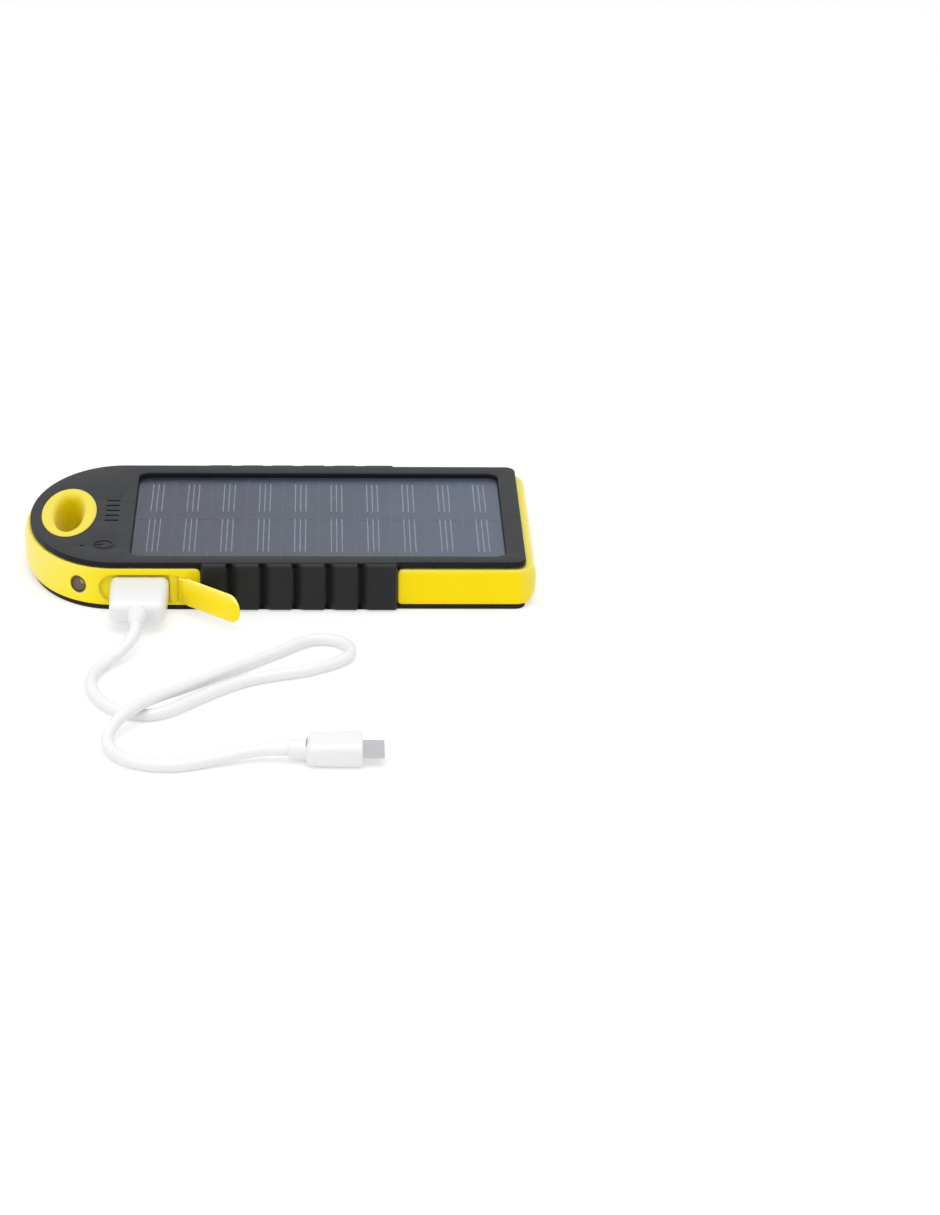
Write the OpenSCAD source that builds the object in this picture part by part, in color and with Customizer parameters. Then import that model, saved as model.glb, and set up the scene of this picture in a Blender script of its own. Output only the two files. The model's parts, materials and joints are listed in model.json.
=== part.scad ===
// Rugged solar phone charger with a lanyard eye, two lidded port pockets and its charging cable.
// Origin at the middle of the base face, +X towards the square tail, -Y towards the open port, +Z up.

/* [Case] */
// Length over the nose bumper and the tail bumper
case_len = 142; // [134:1:160]
// Width across the two plates
case_w = 72; // [70:0.5:82]
// Thickness from the base face to the top face
case_t = 14; // [14:0.2:18]
// Thickness of the top plate
plate_t = 1.6; // [1.2:0.1:2]
// Thickness of the base plate
base_t = 1.3; // [1.1:0.1:1.8]
// Thickness of the shells' upright walls
wall_t = 1.4; // [1.1:0.1:1.6]
// Depth of the channel round the edge that holds the bumpers and grips
channel_d = 2.4; // [2.2:0.1:2.6]
// Corner radius of the plates at the tail
tail_r = 3; // [2:0.5:5]
// How far the plates step in beside the tail bumper
tail_step = 0.6; // [0.6:0.1:1.3]

/* [Bumpers and grips] */
// How far the nose bumper stands out past the plates at the tip
nose_bulge = 1.7; // [1.5:0.1:3]
// How far the tail bumper stands out past the plates at the end
tail_bulge = 3; // [2:0.1:4]
// How far the nose bumper stands out past the plates at the sides
side_bulge = 0.2; // [0.1:0.05:0.4]
// Length of the nose bumper's straight arms
nose_arm = 24.8; // [24.5:0.1:30]
// Length of the tail bumper's arms, from the end of the plates
tail_arm = 35.2; // [28:0.1:40]
// Width of one flute in a side grip
flute_w = 3.9; // [3:0.1:5]
// Distance between flutes
flute_pitch = 8.95; // [8:0.05:10]
// Distance from the end of a grip to the middle of its first flute
flute_start = 8.5; // [6:0.1:9]
// Depth of the flutes in the grips and in the plates' edges
flute_d = 0.7; // [0.4:0.1:1]
// Thickness of the lip that each plate keeps over the flutes
flute_lip = 0.4; // [0.3:0.1:0.6]
// How far the grip pads stand out past the plates
pad_h = 1.5; // [1:0.1:2]
// How far the grip pads stay inside the plates' outer faces
pad_low = 0.2; // [0.1:0.1:0.6]

/* [Lanyard eye] */
// Width of the eye's oval rim along the charger
eye_w = 15.2; // [14:0.1:17]
// Length of the eye's oval rim across the charger
eye_l = 35; // [30:0.5:37]
// Width of the rim at the ends of its short axis
eye_rim_w = 3.9; // [3.2:0.1:4.4]
// Width of the rim at the ends of its long axis
eye_rim_l = 4.25; // [3.5:0.05:5]
// Distance from the tip of the plates to the rim
eye_edge = 3.2; // [2.7:0.1:5]
// Distance from the rim to the line where the nose starts to round
eye_gap = 5.4; // [5.2:0.1:8]
// How far the rim stands above the top face
eye_up = 0.3; // [0.3:0.1:1]
// How far the eye sits off the centre line
eye_y = -0.5; // [-1:0.1:1]

/* [Solar panel] */
// Distance from the start of the rounded nose to the window
window_start = 5.3; // [5:0.1:8]
// Distance from the window to the end of the plates
window_end = 5.3; // [4.5:0.1:8]
// Width of the plate between the window and the port side
window_front = 5; // [5:0.1:7]
// Width of the plate between the window and the far side
window_back = 6; // [5:0.1:8]
// Corner radius of the window
window_r = 2.6; // [1:0.1:4]
// How far the panel's face lies below the top face
panel_recess = 1.5; // [1:0.1:1.6]
// Thickness of the clear cover over the cells
cover_t = 0.5; // [0.4:0.05:0.6]
// Thickness of one cell
cell_t = 0.2; // [0.15:0.05:0.3]
// Thickness of the silver lines on the cells
line_t = 0.06; // [0.04:0.01:0.1]
// Width of the silver lines on the cells
line_w = 0.3; // [0.2:0.05:0.5]
// Distance between the silver lines of one cell
line_pitch = 1.5; // [1.2:0.1:2]
// Thickness of the board that carries the cells
panel_board_t = 1; // [0.8:0.05:1.1]
// Thickness of the adhesive frame under that board
adhesive_t = 0.2; // [0.1:0.05:0.3]
// Width of the adhesive frame
adhesive_w = 4; // [3:0.5:6]
// Number of cells along the panel
cell_columns = 10; // [6:1:12]
// Number of cells across the panel
cell_rows = 2; // [1:1:3]
// Gap between neighbouring cells
cell_gap = 0.6; // [0.4:0.1:1]

/* [Ports] */
// Distance from the start of the rounded nose to the middle of the front port
port_start = 8.2; // [8:0.1:9]
// Width of a large socket's shell
usb_w = 13.2; // [13:0.1:13.6]
// Height of a large socket's shell
usb_h = 5.8; // [5.6:0.1:6]
// Depth of a large socket's shell
usb_depth = 14; // [13.5:0.1:15]
// Thickness of a socket's sheet metal
usb_sheet = 0.35; // [0.3:0.01:0.4]
// Width of the small socket's shell
micro_w = 7.6; // [7.4:0.1:8]
// Height of the small socket's shell
micro_h = 2.9; // [2.7:0.1:3.1]
// Depth of the small socket's shell
micro_depth = 5.6; // [5:0.1:6]
// Distance from the rear large socket to the small one, shell to shell
port_gap = 2.3; // [2:0.1:3]
// Height of a port pocket
pocket_h = 8.6; // [8:0.1:8.8]
// Depth of a port pocket
pocket_d = 1.5; // [1.3:0.1:1.6]
// Length of the front pocket, from its round end to its hinge
front_pocket_len = 22.6; // [20:0.1:23]
// Length of the rear pocket, from its round end to its hinge
rear_pocket_len = 27; // [26:0.1:28]

/* [Port flaps] */
// Thickness of a flap
flap_t = 1.4; // [1.2:0.1:1.5]
// Thickness of the thin neck that bends
neck_t = 0.7; // [0.5:0.1:0.9]
// Length of the neck
neck_len = 2.2; // [1.6:0.1:3]
// Radius of the bead at the flap's root
bead_r = 0.7; // [0.6:0.05:0.8]
// Angle by which the front flap is swung out of its pocket
front_open = 138; // [120:1:145]
// Height of the block on a flap's inner face that enters the socket
flap_key_h = 3.6; // [3:0.1:4]
// Depth of that block
flap_key_d = 0.4; // [0.3:0.1:1]

/* [Button and lights] */
// Radius of the button's cap
button_r = 3.9; // [3.5:0.1:4]
// How far the button travels
button_travel = 0.4; // [0.2:0.05:0.45]
// Radius of the raised power symbol
symbol_r = 2.9; // [2.4:0.1:3.2]
// Height of the raised symbol
symbol_h = 0.15; // [0.1:0.05:0.3]
// Distance from the edge of the plate to the middle of the button
button_edge = 12.8; // [12:0.1:13.5]
// Number of indicator slots
slot_count = 5; // [4:1:5]
// Length of an indicator slot
slot_l = 3.5; // [3:0.1:3.8]
// Width of an indicator slot
slot_w = 0.9; // [0.6:0.1:1.1]
// Distance between indicator slots
slot_pitch = 3.6; // [3.2:0.1:3.8]
// Radius of the charge lamp's lens
charge_r = 0.5; // [0.4:0.05:0.6]
// Angle round the nose at which the torch looks out
torch_phi = 249.6; // [246:0.2:252]
// Height of the torch above the base face
torch_z = 6.5; // [5.8:0.1:7]
// Radius of the torch's hole
torch_r = 2.45; // [2:0.05:2.5]

/* [Inside] */
// Height of the posts under the main board
post_h = 0.6; // [0.5:0.05:0.7]
// Thickness of the main board
board_t = 1.2; // [1:0.05:1.3]
// Radius of a screw boss
boss_r = 2.4; // [2.2:0.1:2.5]
// Angle round the nose at which its screws stand
boss_phi = 136; // [134:0.5:138]
// Radius of a case screw's shank
screw_r = 0.85; // [0.7:0.05:0.95]
// Radius of a case screw's head
head_r = 1.6; // [1.4:0.1:1.7]
// Thickness of the seal between the shells
seal_t = 0.4; // [0.3:0.05:0.6]
// Thickness of the foam pad under the cell pack
pad_t = 0.5; // [0.3:0.1:0.8]

/* [Charging cable] */
// Diameter of the cable
cord_d = 3.2; // [2.8:0.1:3.4]
// Width of the large plug's grip
plug_w = 15.8; // [15:0.1:16]
// Height of the large plug's grip
plug_h = 7.2; // [6.6:0.1:7.4]
// Length of the large plug's grip
plug_l = 18; // [18:0.1:20]
// Length of the large plug's strain relief
relief_l = 7.1; // [6:0.1:8]
// Width of the small plug's grip
micro_grip_w = 10.6; // [10:0.1:11]
// Height of the small plug's grip
micro_grip_h = 6.6; // [6:0.1:6.6]
// Length of the small plug's grip
micro_grip_l = 14.2; // [13:0.1:15]
// Length of the small plug's strain relief
micro_relief_l = 4.3; // [4:0.1:5]

/* [Hidden] */

// Clearances
fit = 0.1;        // between pieces that are pressed or laid together
slide = 0.2;      // round pieces that move past each other
bead_fit = 0.1;   // round a flap's bead
eps = 0.01;       // overcut, so that no two faces of a cut coincide
steps = 32;       // facets of a rounded form
round_fn = 48;    // facets of a true cylinder
small_fn = 24;    // facets of a small cylinder

// Plan of the plates
side_y = case_w / 2;
tip_x = -case_len / 2 + nose_bulge;
end_x = case_len / 2 - tail_bulge;
eye_x = tip_x + eye_edge + eye_w / 2;
nose_x = eye_x + eye_w / 2 + eye_gap;
arm_x = nose_x + nose_arm;
block_x = end_x - tail_arm;
flute_count = floor((block_x - arm_x - 2 * flute_start) / flute_pitch) + 1;

// Heights
plate_z = case_t - plate_t;
split_z = case_t / 2;
board_z = base_t + post_h;
board_top = board_z + board_t;
port_z = board_top + usb_h / 2;
cover_z = case_t - panel_recess - cover_t;
line_z = cover_z - line_t;
cell_z = line_z - cell_t;
panel_board_z = cell_z - panel_board_t;
tray_z = panel_board_z - adhesive_t;
tray_t = 1;
tray_under = tray_z - tray_t;

// Plan of the walls, and of the seal that lies on them
seal_inset = 0.3;
wall_y = side_y - channel_d;
wall_tip = tip_x + channel_d;
wall_end = end_x - channel_d;
inner_y = wall_y - wall_t;
inner_tip = wall_tip + wall_t;
inner_end = wall_end - wall_t;

// Lip of the eye over its hole in the top plate, and the rounding of that lip
eye_lip = 0.5;
eye_round = 0.8;

// Window and cells
window_x0 = nose_x + window_start;
window_x1 = end_x - window_end;
window_y0 = -side_y + window_front;
window_y1 = side_y - window_back;
tray_rim = 1.2;
leads_x = window_x0 + adhesive_w + 1.6;
leads_y = 1.6;
panel_wire_r = 0.5;
panel_edge = 0.9;
cell_px = (window_x1 - window_x0 - 2 * panel_edge + cell_gap) / cell_columns;
cell_py = (window_y1 - window_y0 - 2 * panel_edge + cell_gap) / cell_rows;
line_margin = 2.2;

// Ports
front_x = nose_x + port_start;
face_y = side_y + side_bulge;
floor_y = face_y - pocket_d;
mouth_y = floor_y - fit;
front_hinge_x = front_x + front_pocket_len / 2;
rear_shift = 3.5;
rear_hinge_x = front_hinge_x + rear_shift;
rear_mid_x = rear_hinge_x - rear_pocket_len / 2;
rear_pair = usb_w + port_gap + micro_w;
rear_usb_x = rear_mid_x - rear_pair / 2 + usb_w / 2;
micro_x = rear_mid_x + rear_pair / 2 - micro_w / 2;
port_room = 0.4;
tongue_w = usb_w - 2.4;
tongue_t = 1.6;
tongue_l = 9.9;
flap_h = pocket_h - 2 * slide;
flap_key_w = tongue_w - 1;
flap_proud = 0.1;
socket_back = 0.6;

// Button, lights and switch
lamp_x = nose_x - 0.95;
lamp_y = 1.1;
button_x = nose_x - 2.2;
button_y = -side_y + button_edge;
flange_t = 0.8;
flange_r = button_r + 0.7;
switch_w = 4.5;
switch_h = 3.8;
plunger_r = 1;
plunger_out = 1.6;
plunger_in = 0.9;
stem_z = board_top + switch_h + plunger_out;
charge_x = nose_x - 8;
charge_y = button_y - 1.1;
lens_strip_t = 0.6;
lens_sink = 0.2;
led_l = 1.6;
led_w = 0.8;
led_t = 0.7;
torch_room = 0.4;
torch_reach = 6;
torch_a = nose_x - tip_x + nose_bulge;
cup_l = 4.2;

// Board, screws and cell pack
board_x0 = eye_x + eye_w / 2 + 0.6;
board_x1 = rear_hinge_x - 1;
board_y = inner_y - 1.7;
ear_w = 6.6;
ear_x0 = charge_x - 1.3;
tab_w = 9;
choke_w = 8;
choke_r = 3.6;
cap_w = 5.6;
cap_r = 2.5;
chip_w = 5;
chip_t = 1;
head_t = 1.3;
head_z = 0.2;
cross_l = 1.8;
cross_w = 0.4;
post_r = 2;
post_screw_r = 0.75;
lead_r = 0.3;
lower_boss_h = 4.5;
screw_l = 7.3;
boss_gap = 0.5;
nose_boss = nose_point(nose_x - inner_tip, inner_y, boss_phi, boss_r + slide);
boss_x = [nose_boss[0], board_x1 + boss_r + boss_gap, inner_end - boss_r - boss_gap];
boss_y = [nose_boss[1], inner_y - boss_r - 2.3, inner_y - boss_r - 2.3];
pack_x0 = boss_x[1] + boss_r + boss_gap;
pack_x1 = boss_x[2] - boss_r - boss_gap;
pack_y = inner_y - 2.2;
pack_z = base_t + pad_t;
pack_t = tray_under - 0.3 - pack_z;
post_edge = 3;
post_spots = [
    [board_x0 + post_edge, board_y / 2],
    [board_x1 - post_edge, post_edge - board_y],
    [board_x1 - post_edge, post_edge]
];

// Cable: it starts at the relief's end, and the small plug starts at its last point
plug_y = floor_y + slide;
plug_shell_w = 12;
plug_shell_h = 4.5;
plug_shell_l = 11.75;
plug_sheet = 0.3;
plug_window = 2.2;
plug_window_x = 2.9;
plug_window_y = 7.1;
relief_end = [front_x, -plug_y - plug_l - relief_l, port_z];
route = [
    relief_end, [-37.4, -63.6, 5.6], [-38.6, -67, 4.6], [-40.9, -70.6, 3.2],
    [-44, -74.4, 2.1], [-46.8, -79.6, 1.6], [-47.8, -86.4, 1.6], [-46.2, -93.8, 1.6],
    [-42.8, -100.2, 1.6], [-37.8, -104.8, 1.6], [-32, -106, 1.6], [-26.4, -103.2, 1.6],
    [-20.6, -97.2, 1.6], [-14.4, -90.8, 1.6], [-7.4, -85.2, 1.6], [0.4, -81.6, 1.6],
    [6.6, -79.5, 1.6], [12.4, -76.4, 1.6], [17.1, -72.7, 1.6], [19.4, -69.4, 1.6],
    [19.8, -65.5, 1.6], [18.3, -61.9, 1.6], [15.1, -59.4, 1.6], [11.1, -59, 1.6],
    [7.1, -60.9, 1.6], [1.4, -66.6, 1.6], [-6.4, -74.1, 1.7], [-15, -83.4, 2.3],
    [-23, -93, 3.4], [-29.4, -100.8, 4.5], [-34.4, -107.6, 5.1], [-38.8, -113.8, 4.4],
    [-41.4, -120.4, 2.8], [-40.4, -126.4, 1.8], [-36.2, -131.8, 1.6], [-29.8, -134.8, 1.6],
    [-22.4, -134.8, 1.6], [-13, -131.6, 2], [-4, -129.4, 3], [4, -129.3, 3.3]
];
cord_sides = 8;
cord_sub = 2;

// Direction square to the nose's half ellipse of half axes a and b, at the angle phi round it,
// and the point that lies so deep inside that ellipse there
function nose_turn(a, b, phi) = atan2(sin(phi) / b, cos(phi) / a);
function nose_point(a, b, phi, deep) = [
    nose_x + a * cos(phi) - deep * cos(nose_turn(a, b, phi)),
    b * sin(phi) - deep * sin(nose_turn(a, b, phi))
];

// Closed outline: half an ellipse at the nose, straight sides and rounded tail corners
function plan(tip, side, tail, corner) = concat(
    [for (a = [90:180 / steps:270]) [nose_x + (nose_x - tip) * cos(a), side * sin(a)]],
    [for (a = [-90:15:0]) [tail - corner + corner * cos(a), corner - side + corner * sin(a)]],
    [for (a = [0:15:90]) [tail - corner + corner * cos(a), side - corner + corner * sin(a)]]
);

// Ellipse of the given half axes
function oval(rx, ry) = [for (a = [0:360 / (2 * steps):359]) [rx * cos(a), ry * sin(a)]];

// Solid through a stack of levels, each a height and an outline with as many points as the rest
module loft(levels) {
    n = len(levels[0][1]);
    last = len(levels) - 1;
    walls = [
        for (i = [0:last - 1])
            for (k = [0:n - 1])
                let (a = i * n + k, b = i * n + (k + 1) % n)
                for (f = [[a, a + n, b + n], [a, b + n, b]])
                    f
    ];
    floor_face = [[for (k = [0:n - 1]) k]];
    top_face = [[for (k = [n - 1:-1:0]) last * n + k]];
    polyhedron(
        points = [for (l = levels) for (p = l[1]) [p[0], p[1], l[0]]],
        faces = concat(walls, floor_face, top_face)
    );
}

// Rectangle with rounded corners, centred
function round_box(w, h, r) = [
    for (q = [0:3])
        for (a = [0:15:90])
            [
                (q == 0 || q == 3 ? 1 : -1) * (w / 2 - r) + r * cos(a + 90 * q),
                (q < 2 ? 1 : -1) * (h / 2 - r) + r * sin(a + 90 * q)
            ]
];

module plate_plan() {
    intersection() {
        polygon(plan(tip_x, side_y, end_x, tail_r));
        translate([tip_x - 1, -side_y - 1])
            square([block_x - tip_x + 1, case_w + 2]);
    }
    polygon(plan(tip_x, side_y - tail_step, end_x, tail_r));
}

module wall_plan(grow = 0) {
    polygon(plan(wall_tip - grow, wall_y + grow, wall_end + grow, tail_r - 1));
}

module inner_plan(grow = 0) {
    polygon(plan(inner_tip - grow, inner_y + grow, inner_end + grow, tail_r - 2));
}

module window_plan(grow = 0) {
    translate([(window_x0 + window_x1) / 2, (window_y0 + window_y1) / 2])
        polygon(round_box(window_x1 - window_x0 + 2 * grow, window_y1 - window_y0 + 2 * grow,
                          max(0.5, window_r + grow)));
}

// Moves its children to the torch's mouth and turns their +Z outwards
module at_torch() {
    mouth = nose_point(torch_a, face_y, torch_phi, 0);
    translate([mouth[0], mouth[1], torch_z])
        rotate([0, 90, nose_turn(torch_a, face_y, torch_phi)])
            children();
}

module torch_hole(r) {
    at_torch()
        cylinder(r = r, h = 2 * torch_reach, center = true, $fn = round_fn);
}

// Hole through both shells and the seal for the eye's body
module eye_cut() {
    translate([eye_x, eye_y, -1])
        linear_extrude(case_t + 2)
            polygon(oval(eye_w / 2 - eye_lip + fit, eye_l / 2 - eye_lip + fit));
}

// Box centred on x, from y0 to y1
module bar(x, w, y0, y1, z0, z1) {
    translate([x - w / 2, min(y0, y1), z0])
        cube([w, abs(y1 - y0), z1 - z0]);
}

// Openings for the three sockets and the torch, as tall as the sockets
module port_cuts(y0, room) {
    bar(front_x, usb_w + 2 * room, -y0, -face_y - 1, board_top - room, board_top + usb_h + room);
    bar(rear_usb_x, usb_w + 2 * room, y0, face_y + 1, board_top - room, board_top + usb_h + room);
    bar(micro_x, micro_w + 2 * room, y0, face_y + 1, board_top - room, board_top + micro_h + room);
}

// Cylinders at the screw places, given by the radius and two heights
module at_screws(r, z0, z1) {
    for (i = [0:2])
        for (s = [-1, 1])
            translate([boss_x[i], s * boss_y[i], z0])
                cylinder(r = r, h = z1 - z0, $fn = round_fn);
}

// Cylinders at the posts that carry the main board
module at_posts(r, z0, z1) {
    for (p = post_spots)
        translate([p[0], p[1], z0])
            cylinder(r = r, h = z1 - z0, $fn = round_fn);
}

module bottom_shell() {
    color([0.17, 0.17, 0.18])
        difference() {
            union() {
                linear_extrude(base_t)
                    plate_plan();
                linear_extrude(split_z - seal_t / 2)
                    difference() {
                        wall_plan();
                        inner_plan();
                    }
                at_screws(boss_r, 0, lower_boss_h);
                at_posts(post_r, 0, board_z);
            }
            port_cuts(inner_y - 2, port_room);
            torch_hole(torch_r + torch_room);
            eye_cut();
            at_screws(head_r + slide, -1, head_z + head_t);
            at_screws(screw_r + 0.25, 0, lower_boss_h + 1);
            at_posts(post_screw_r + 0.05, base_t / 2, board_top);
            flute_cuts();
        }
}

module top_shell() {
    color([0.29, 0.3, 0.32])
        difference() {
            union() {
                translate([0, 0, plate_z])
                    linear_extrude(plate_t)
                        plate_plan();
                translate([0, 0, split_z + seal_t / 2])
                    linear_extrude(plate_z - split_z)
                        difference() {
                            wall_plan();
                            inner_plan();
                        }
                translate([0, 0, tray_under])
                    linear_extrude(plate_z - tray_under + eps)
                        window_plan(tray_rim);
                at_screws(boss_r, lower_boss_h + fit, plate_z + eps);
            }
            translate([0, 0, tray_z])
                linear_extrude(case_t)
                    window_plan();
            translate([leads_x, 0, tray_z - tray_t / 2])
                cube([3, 2 * leads_y + 4, tray_t + 2], center = true);
            eye_cut();
            at_slots(plate_z - 1)
                slot_bar(slot_l, slot_w, plate_t + 2);
            translate([button_x, button_y, plate_z - 1])
                cylinder(r = button_r + slide, h = plate_t + 2, $fn = round_fn);
            translate([charge_x, charge_y, plate_z - 1])
                cylinder(r = charge_r + 0.05, h = plate_t + 2, $fn = small_fn);
            port_cuts(inner_y - 2, port_room);
            torch_hole(torch_r + torch_room);
            at_screws(screw_r + 0.05, lower_boss_h, head_z + head_t + screw_l + 0.3);
            flute_cuts();
        }
}

// Places its children at each indicator slot
module at_slots(z) {
    for (i = [0:slot_count - 1])
        translate([lamp_x, lamp_y + (i - (slot_count - 1) / 2) * slot_pitch, z])
            children();
}

// Bar with round ends, along X, standing on its origin
module slot_bar(l, w, h) {
    for (s = [-1, 1])
        translate([s * (l - w) / 2, 0, 0])
            cylinder(r = w / 2, h = h, $fn = small_fn);
    translate([-(l - w) / 2, -w / 2, 0])
        cube([l - w, w, h]);
}

module case_seal() {
    color([0.1, 0.1, 0.1])
        difference() {
            translate([0, 0, split_z - seal_t / 2])
                linear_extrude(seal_t)
                    difference() {
                        wall_plan(-seal_inset);
                        inner_plan(seal_inset);
                    }
            port_cuts(inner_y - 2, port_room);
            torch_hole(torch_r + torch_room);
            eye_cut();
        }
}

module case_screws() {
    color([0.55, 0.55, 0.56])
        difference() {
            union() {
                at_screws(head_r, head_z, head_z + head_t);
                at_screws(screw_r, head_z + head_t - eps, head_z + head_t + screw_l);
            }
            for (i = [0:2])
                for (s = [-1, 1])
                    for (turn = [0, 90])
                        translate([boss_x[i], s * boss_y[i], head_z])
                            rotate([0, 0, turn])
                                cube([cross_l, cross_w, head_t], center = true);
        }
}

// Outline of a bumper at one level: how far it stands out at the tip, sides and tail
function band_at(tip, side, tail) = plan(tip_x - tip, side_y + side, end_x + tail, tail_r + tail);

// What both bumpers are cut from, between the plates and round the walls. It stands out by a
// share of its bulge at its two rims, by more of it where it turns, and fully in the middle.
module band(side_mid, side_rim) {
    z0 = base_t + fit;
    z1 = plate_z - fit;
    rise = (z1 - z0) / 10;
    rim = band_at(nose_bulge * 0.4, side_rim, tail_bulge * 0.4);
    turn = band_at(nose_bulge * 0.78, side_mid, tail_bulge * 0.78);
    full = band_at(nose_bulge, side_mid, tail_bulge);
    difference() {
        loft([[z0, rim], [z0 + rise, turn], [z0 + 3 * rise, full],
              [z1 - 3 * rise, full], [z1 - rise, turn], [z1, rim]]);
        linear_extrude(case_t)
            wall_plan(fit);
    }
}

// Recess for a flap, with its cradle for the bead, on the front side
module pocket(hinge_x, len) {
    r = pocket_h / 2;
    bar(hinge_x - (len - r) / 2, len - r, -floor_y, -face_y - 1, port_z - r, port_z + r);
    translate([hinge_x - len + r, -floor_y, port_z])
        rotate([90, 0, 0])
            cylinder(r = r, h = pocket_d + 1, $fn = round_fn);
    translate([hinge_x, -face_y, port_z - r])
        cylinder(r = bead_r + bead_fit, h = pocket_h, $fn = round_fn);
}

module nose_bumper() {
    color([0.97, 0.86, 0.1])
        difference() {
            band(side_bulge, 0);
            translate([arm_x - fit, -case_w, -1])
                cube([case_len, 2 * case_w, case_t + 2]);
            pocket(front_hinge_x, front_pocket_len);
            mirror([0, 1, 0])
                pocket(rear_hinge_x, rear_pocket_len);
            port_cuts(inner_y - 2, 0.2);
            torch_hole(torch_r);
        }
}

module tail_bumper() {
    color([0.98, 0.85, 0.05])
        difference() {
            band(0, -tail_step);
            translate([block_x + fit - case_len * 2, -case_w, -1])
                cube([case_len * 2, 2 * case_w, case_t + 2]);
        }
}

function flute_x(i) = arm_x + flute_start + i * flute_pitch;

// Cuts that make the flutes of both sides in the plates' edges
module flute_cuts() {
    for (s = [-1, 1])
        for (i = [0:flute_count - 1])
            bar(flute_x(i), flute_w, s * (side_y - flute_d), s * case_w,
                flute_lip, case_t - flute_lip);
}

// Fluted grip on the front side: a bar in the channel, and pads that reach over the plates' edges
module side_grip() {
    difference() {
        translate([arm_x, -side_y, base_t + fit])
            cube([block_x - arm_x, channel_d - fit, plate_z - base_t - 2 * fit]);
        flute_cuts();
    }
    for (i = [0:flute_count])
        pad(i == 0 ? arm_x + 0.4 : flute_x(i - 1) + flute_w / 2,
            i == flute_count ? block_x - 0.4 : flute_x(i) - flute_w / 2);
}

// Pillow of three steps, each given as [in from its ends, in from its edges, height], with a root
// that joins it to the bar
module pad(x0, x1) {
    translate([x0, -side_y - 2 * fit, base_t + 1])
        cube([x1 - x0, 4 * fit, plate_z - base_t - 2]);
    hull()
        for (p = [[0, 0, 0.4 * pad_h], [0.3, 0.4, 0.8 * pad_h], [1.2, 1.8, pad_h]])
            translate([x0 + p[0], -side_y - p[2], pad_low + p[1]])
                cube([x1 - x0 - 2 * p[0], 0.4 * pad_h - fit, case_t - 2 * (pad_low + p[1])]);
}

module side_grip_front() {
    color([0.16, 0.16, 0.17])
        side_grip();
}

module side_grip_rear() {
    color([0.16, 0.16, 0.17])
        mirror([0, 1, 0])
            side_grip();
}

module lanyard_eye() {
    body = oval(eye_w / 2 - eye_lip, eye_l / 2 - eye_lip);
    rim = oval(eye_w / 2, eye_l / 2);
    crown = oval(eye_w / 2 - eye_round, eye_l / 2 - eye_round);
    color([0.96, 0.87, 0.25])
        translate([eye_x, eye_y, 0])
            difference() {
                loft([[fit, body], [case_t, body], [case_t, rim],
                      [case_t + eye_up / 2, rim], [case_t + eye_up, crown]]);
                linear_extrude(2 * case_t)
                    polygon(oval(eye_w / 2 - eye_rim_w, eye_l / 2 - eye_rim_l));
            }
}

// Flap with its bead at the origin, closed towards -X, outer face to -Y
module flap(len, key_x, key_w) {
    r = flap_h / 2;
    tip = len - slide - r;
    cylinder(r = bead_r, h = flap_h, center = true, $fn = round_fn);
    translate([-neck_len - 0.4, -neck_t / 2, -r])
        cube([neck_len + 0.4, neck_t, flap_h]);
    translate([-tip, -flap_proud, -r])
        cube([tip - neck_len, flap_t, flap_h]);
    translate([-tip, flap_t - flap_proud, 0])
        rotate([90, 0, 0])
            cylinder(r = r, h = flap_t, $fn = round_fn);
    translate([key_x - key_w / 2, flap_t - flap_proud - eps, -flap_key_h / 2])
        cube([key_w, flap_key_d, flap_key_h]);
}

module front_flap() {
    color([1, 0.88, 0.1])
        translate([front_hinge_x, -face_y, port_z])
            rotate([0, 0, front_open])
                flap(front_pocket_len, front_x - front_hinge_x, flap_key_w);
}

module rear_flap() {
    color([1, 0.88, 0.1])
        mirror([0, 1, 0])
            translate([rear_hinge_x, -face_y, port_z])
                flap(rear_pocket_len, rear_usb_x - rear_hinge_x, flap_key_w);
}

module panel_adhesive() {
    color([0.85, 0.85, 0.8])
        translate([0, 0, tray_z])
            linear_extrude(adhesive_t)
                difference() {
                    window_plan(-fit);
                    window_plan(-adhesive_w);
                }
}

module panel_board() {
    color([0.1, 0.12, 0.16])
        translate([0, 0, panel_board_z])
            linear_extrude(panel_board_t)
                window_plan(-fit);
}

// Places its children at the middle of each cell
module at_cells() {
    for (i = [0:cell_columns - 1])
        for (j = [0:cell_rows - 1])
            translate([window_x0 + panel_edge - cell_gap / 2 + (i + 0.5) * cell_px,
                       window_y0 + panel_edge - cell_gap / 2 + (j + 0.5) * cell_py, 0])
                children();
}

module solar_cells() {
    color([0.36, 0.38, 0.45])
        at_cells()
            translate([(cell_gap - cell_px) / 2, (cell_gap - cell_py) / 2, cell_z])
                cube([cell_px - cell_gap, cell_py - cell_gap, cell_t]);
}

module cell_lines() {
    color([0.75, 0.77, 0.85])
        at_cells()
            for (k = [-1:1])
                translate([k * line_pitch - line_w / 2, line_margin - cell_py / 2, line_z])
                    cube([line_w, cell_py - 2 * line_margin, line_t]);
}

module panel_cover() {
    color([0.45, 0.47, 0.55, 0.5])
        translate([0, 0, cover_z])
            linear_extrude(cover_t)
                window_plan(-fit);
}

module power_button() {
    color([0.3, 0.31, 0.33])
        translate([button_x, button_y, 0]) {
            translate([0, 0, plate_z - fit - eps])
                cylinder(r = button_r, h = plate_t + fit + eps, $fn = round_fn);
            translate([0, 0, plate_z - fit - flange_t])
                cylinder(r = flange_r, h = flange_t, $fn = round_fn);
            translate([0, 0, stem_z])
                cylinder(r = 1.25, h = plate_z - fit - flange_t - stem_z + eps, $fn = round_fn);
            translate([0, 0, case_t - eps])
                power_symbol();
        }
}

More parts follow.
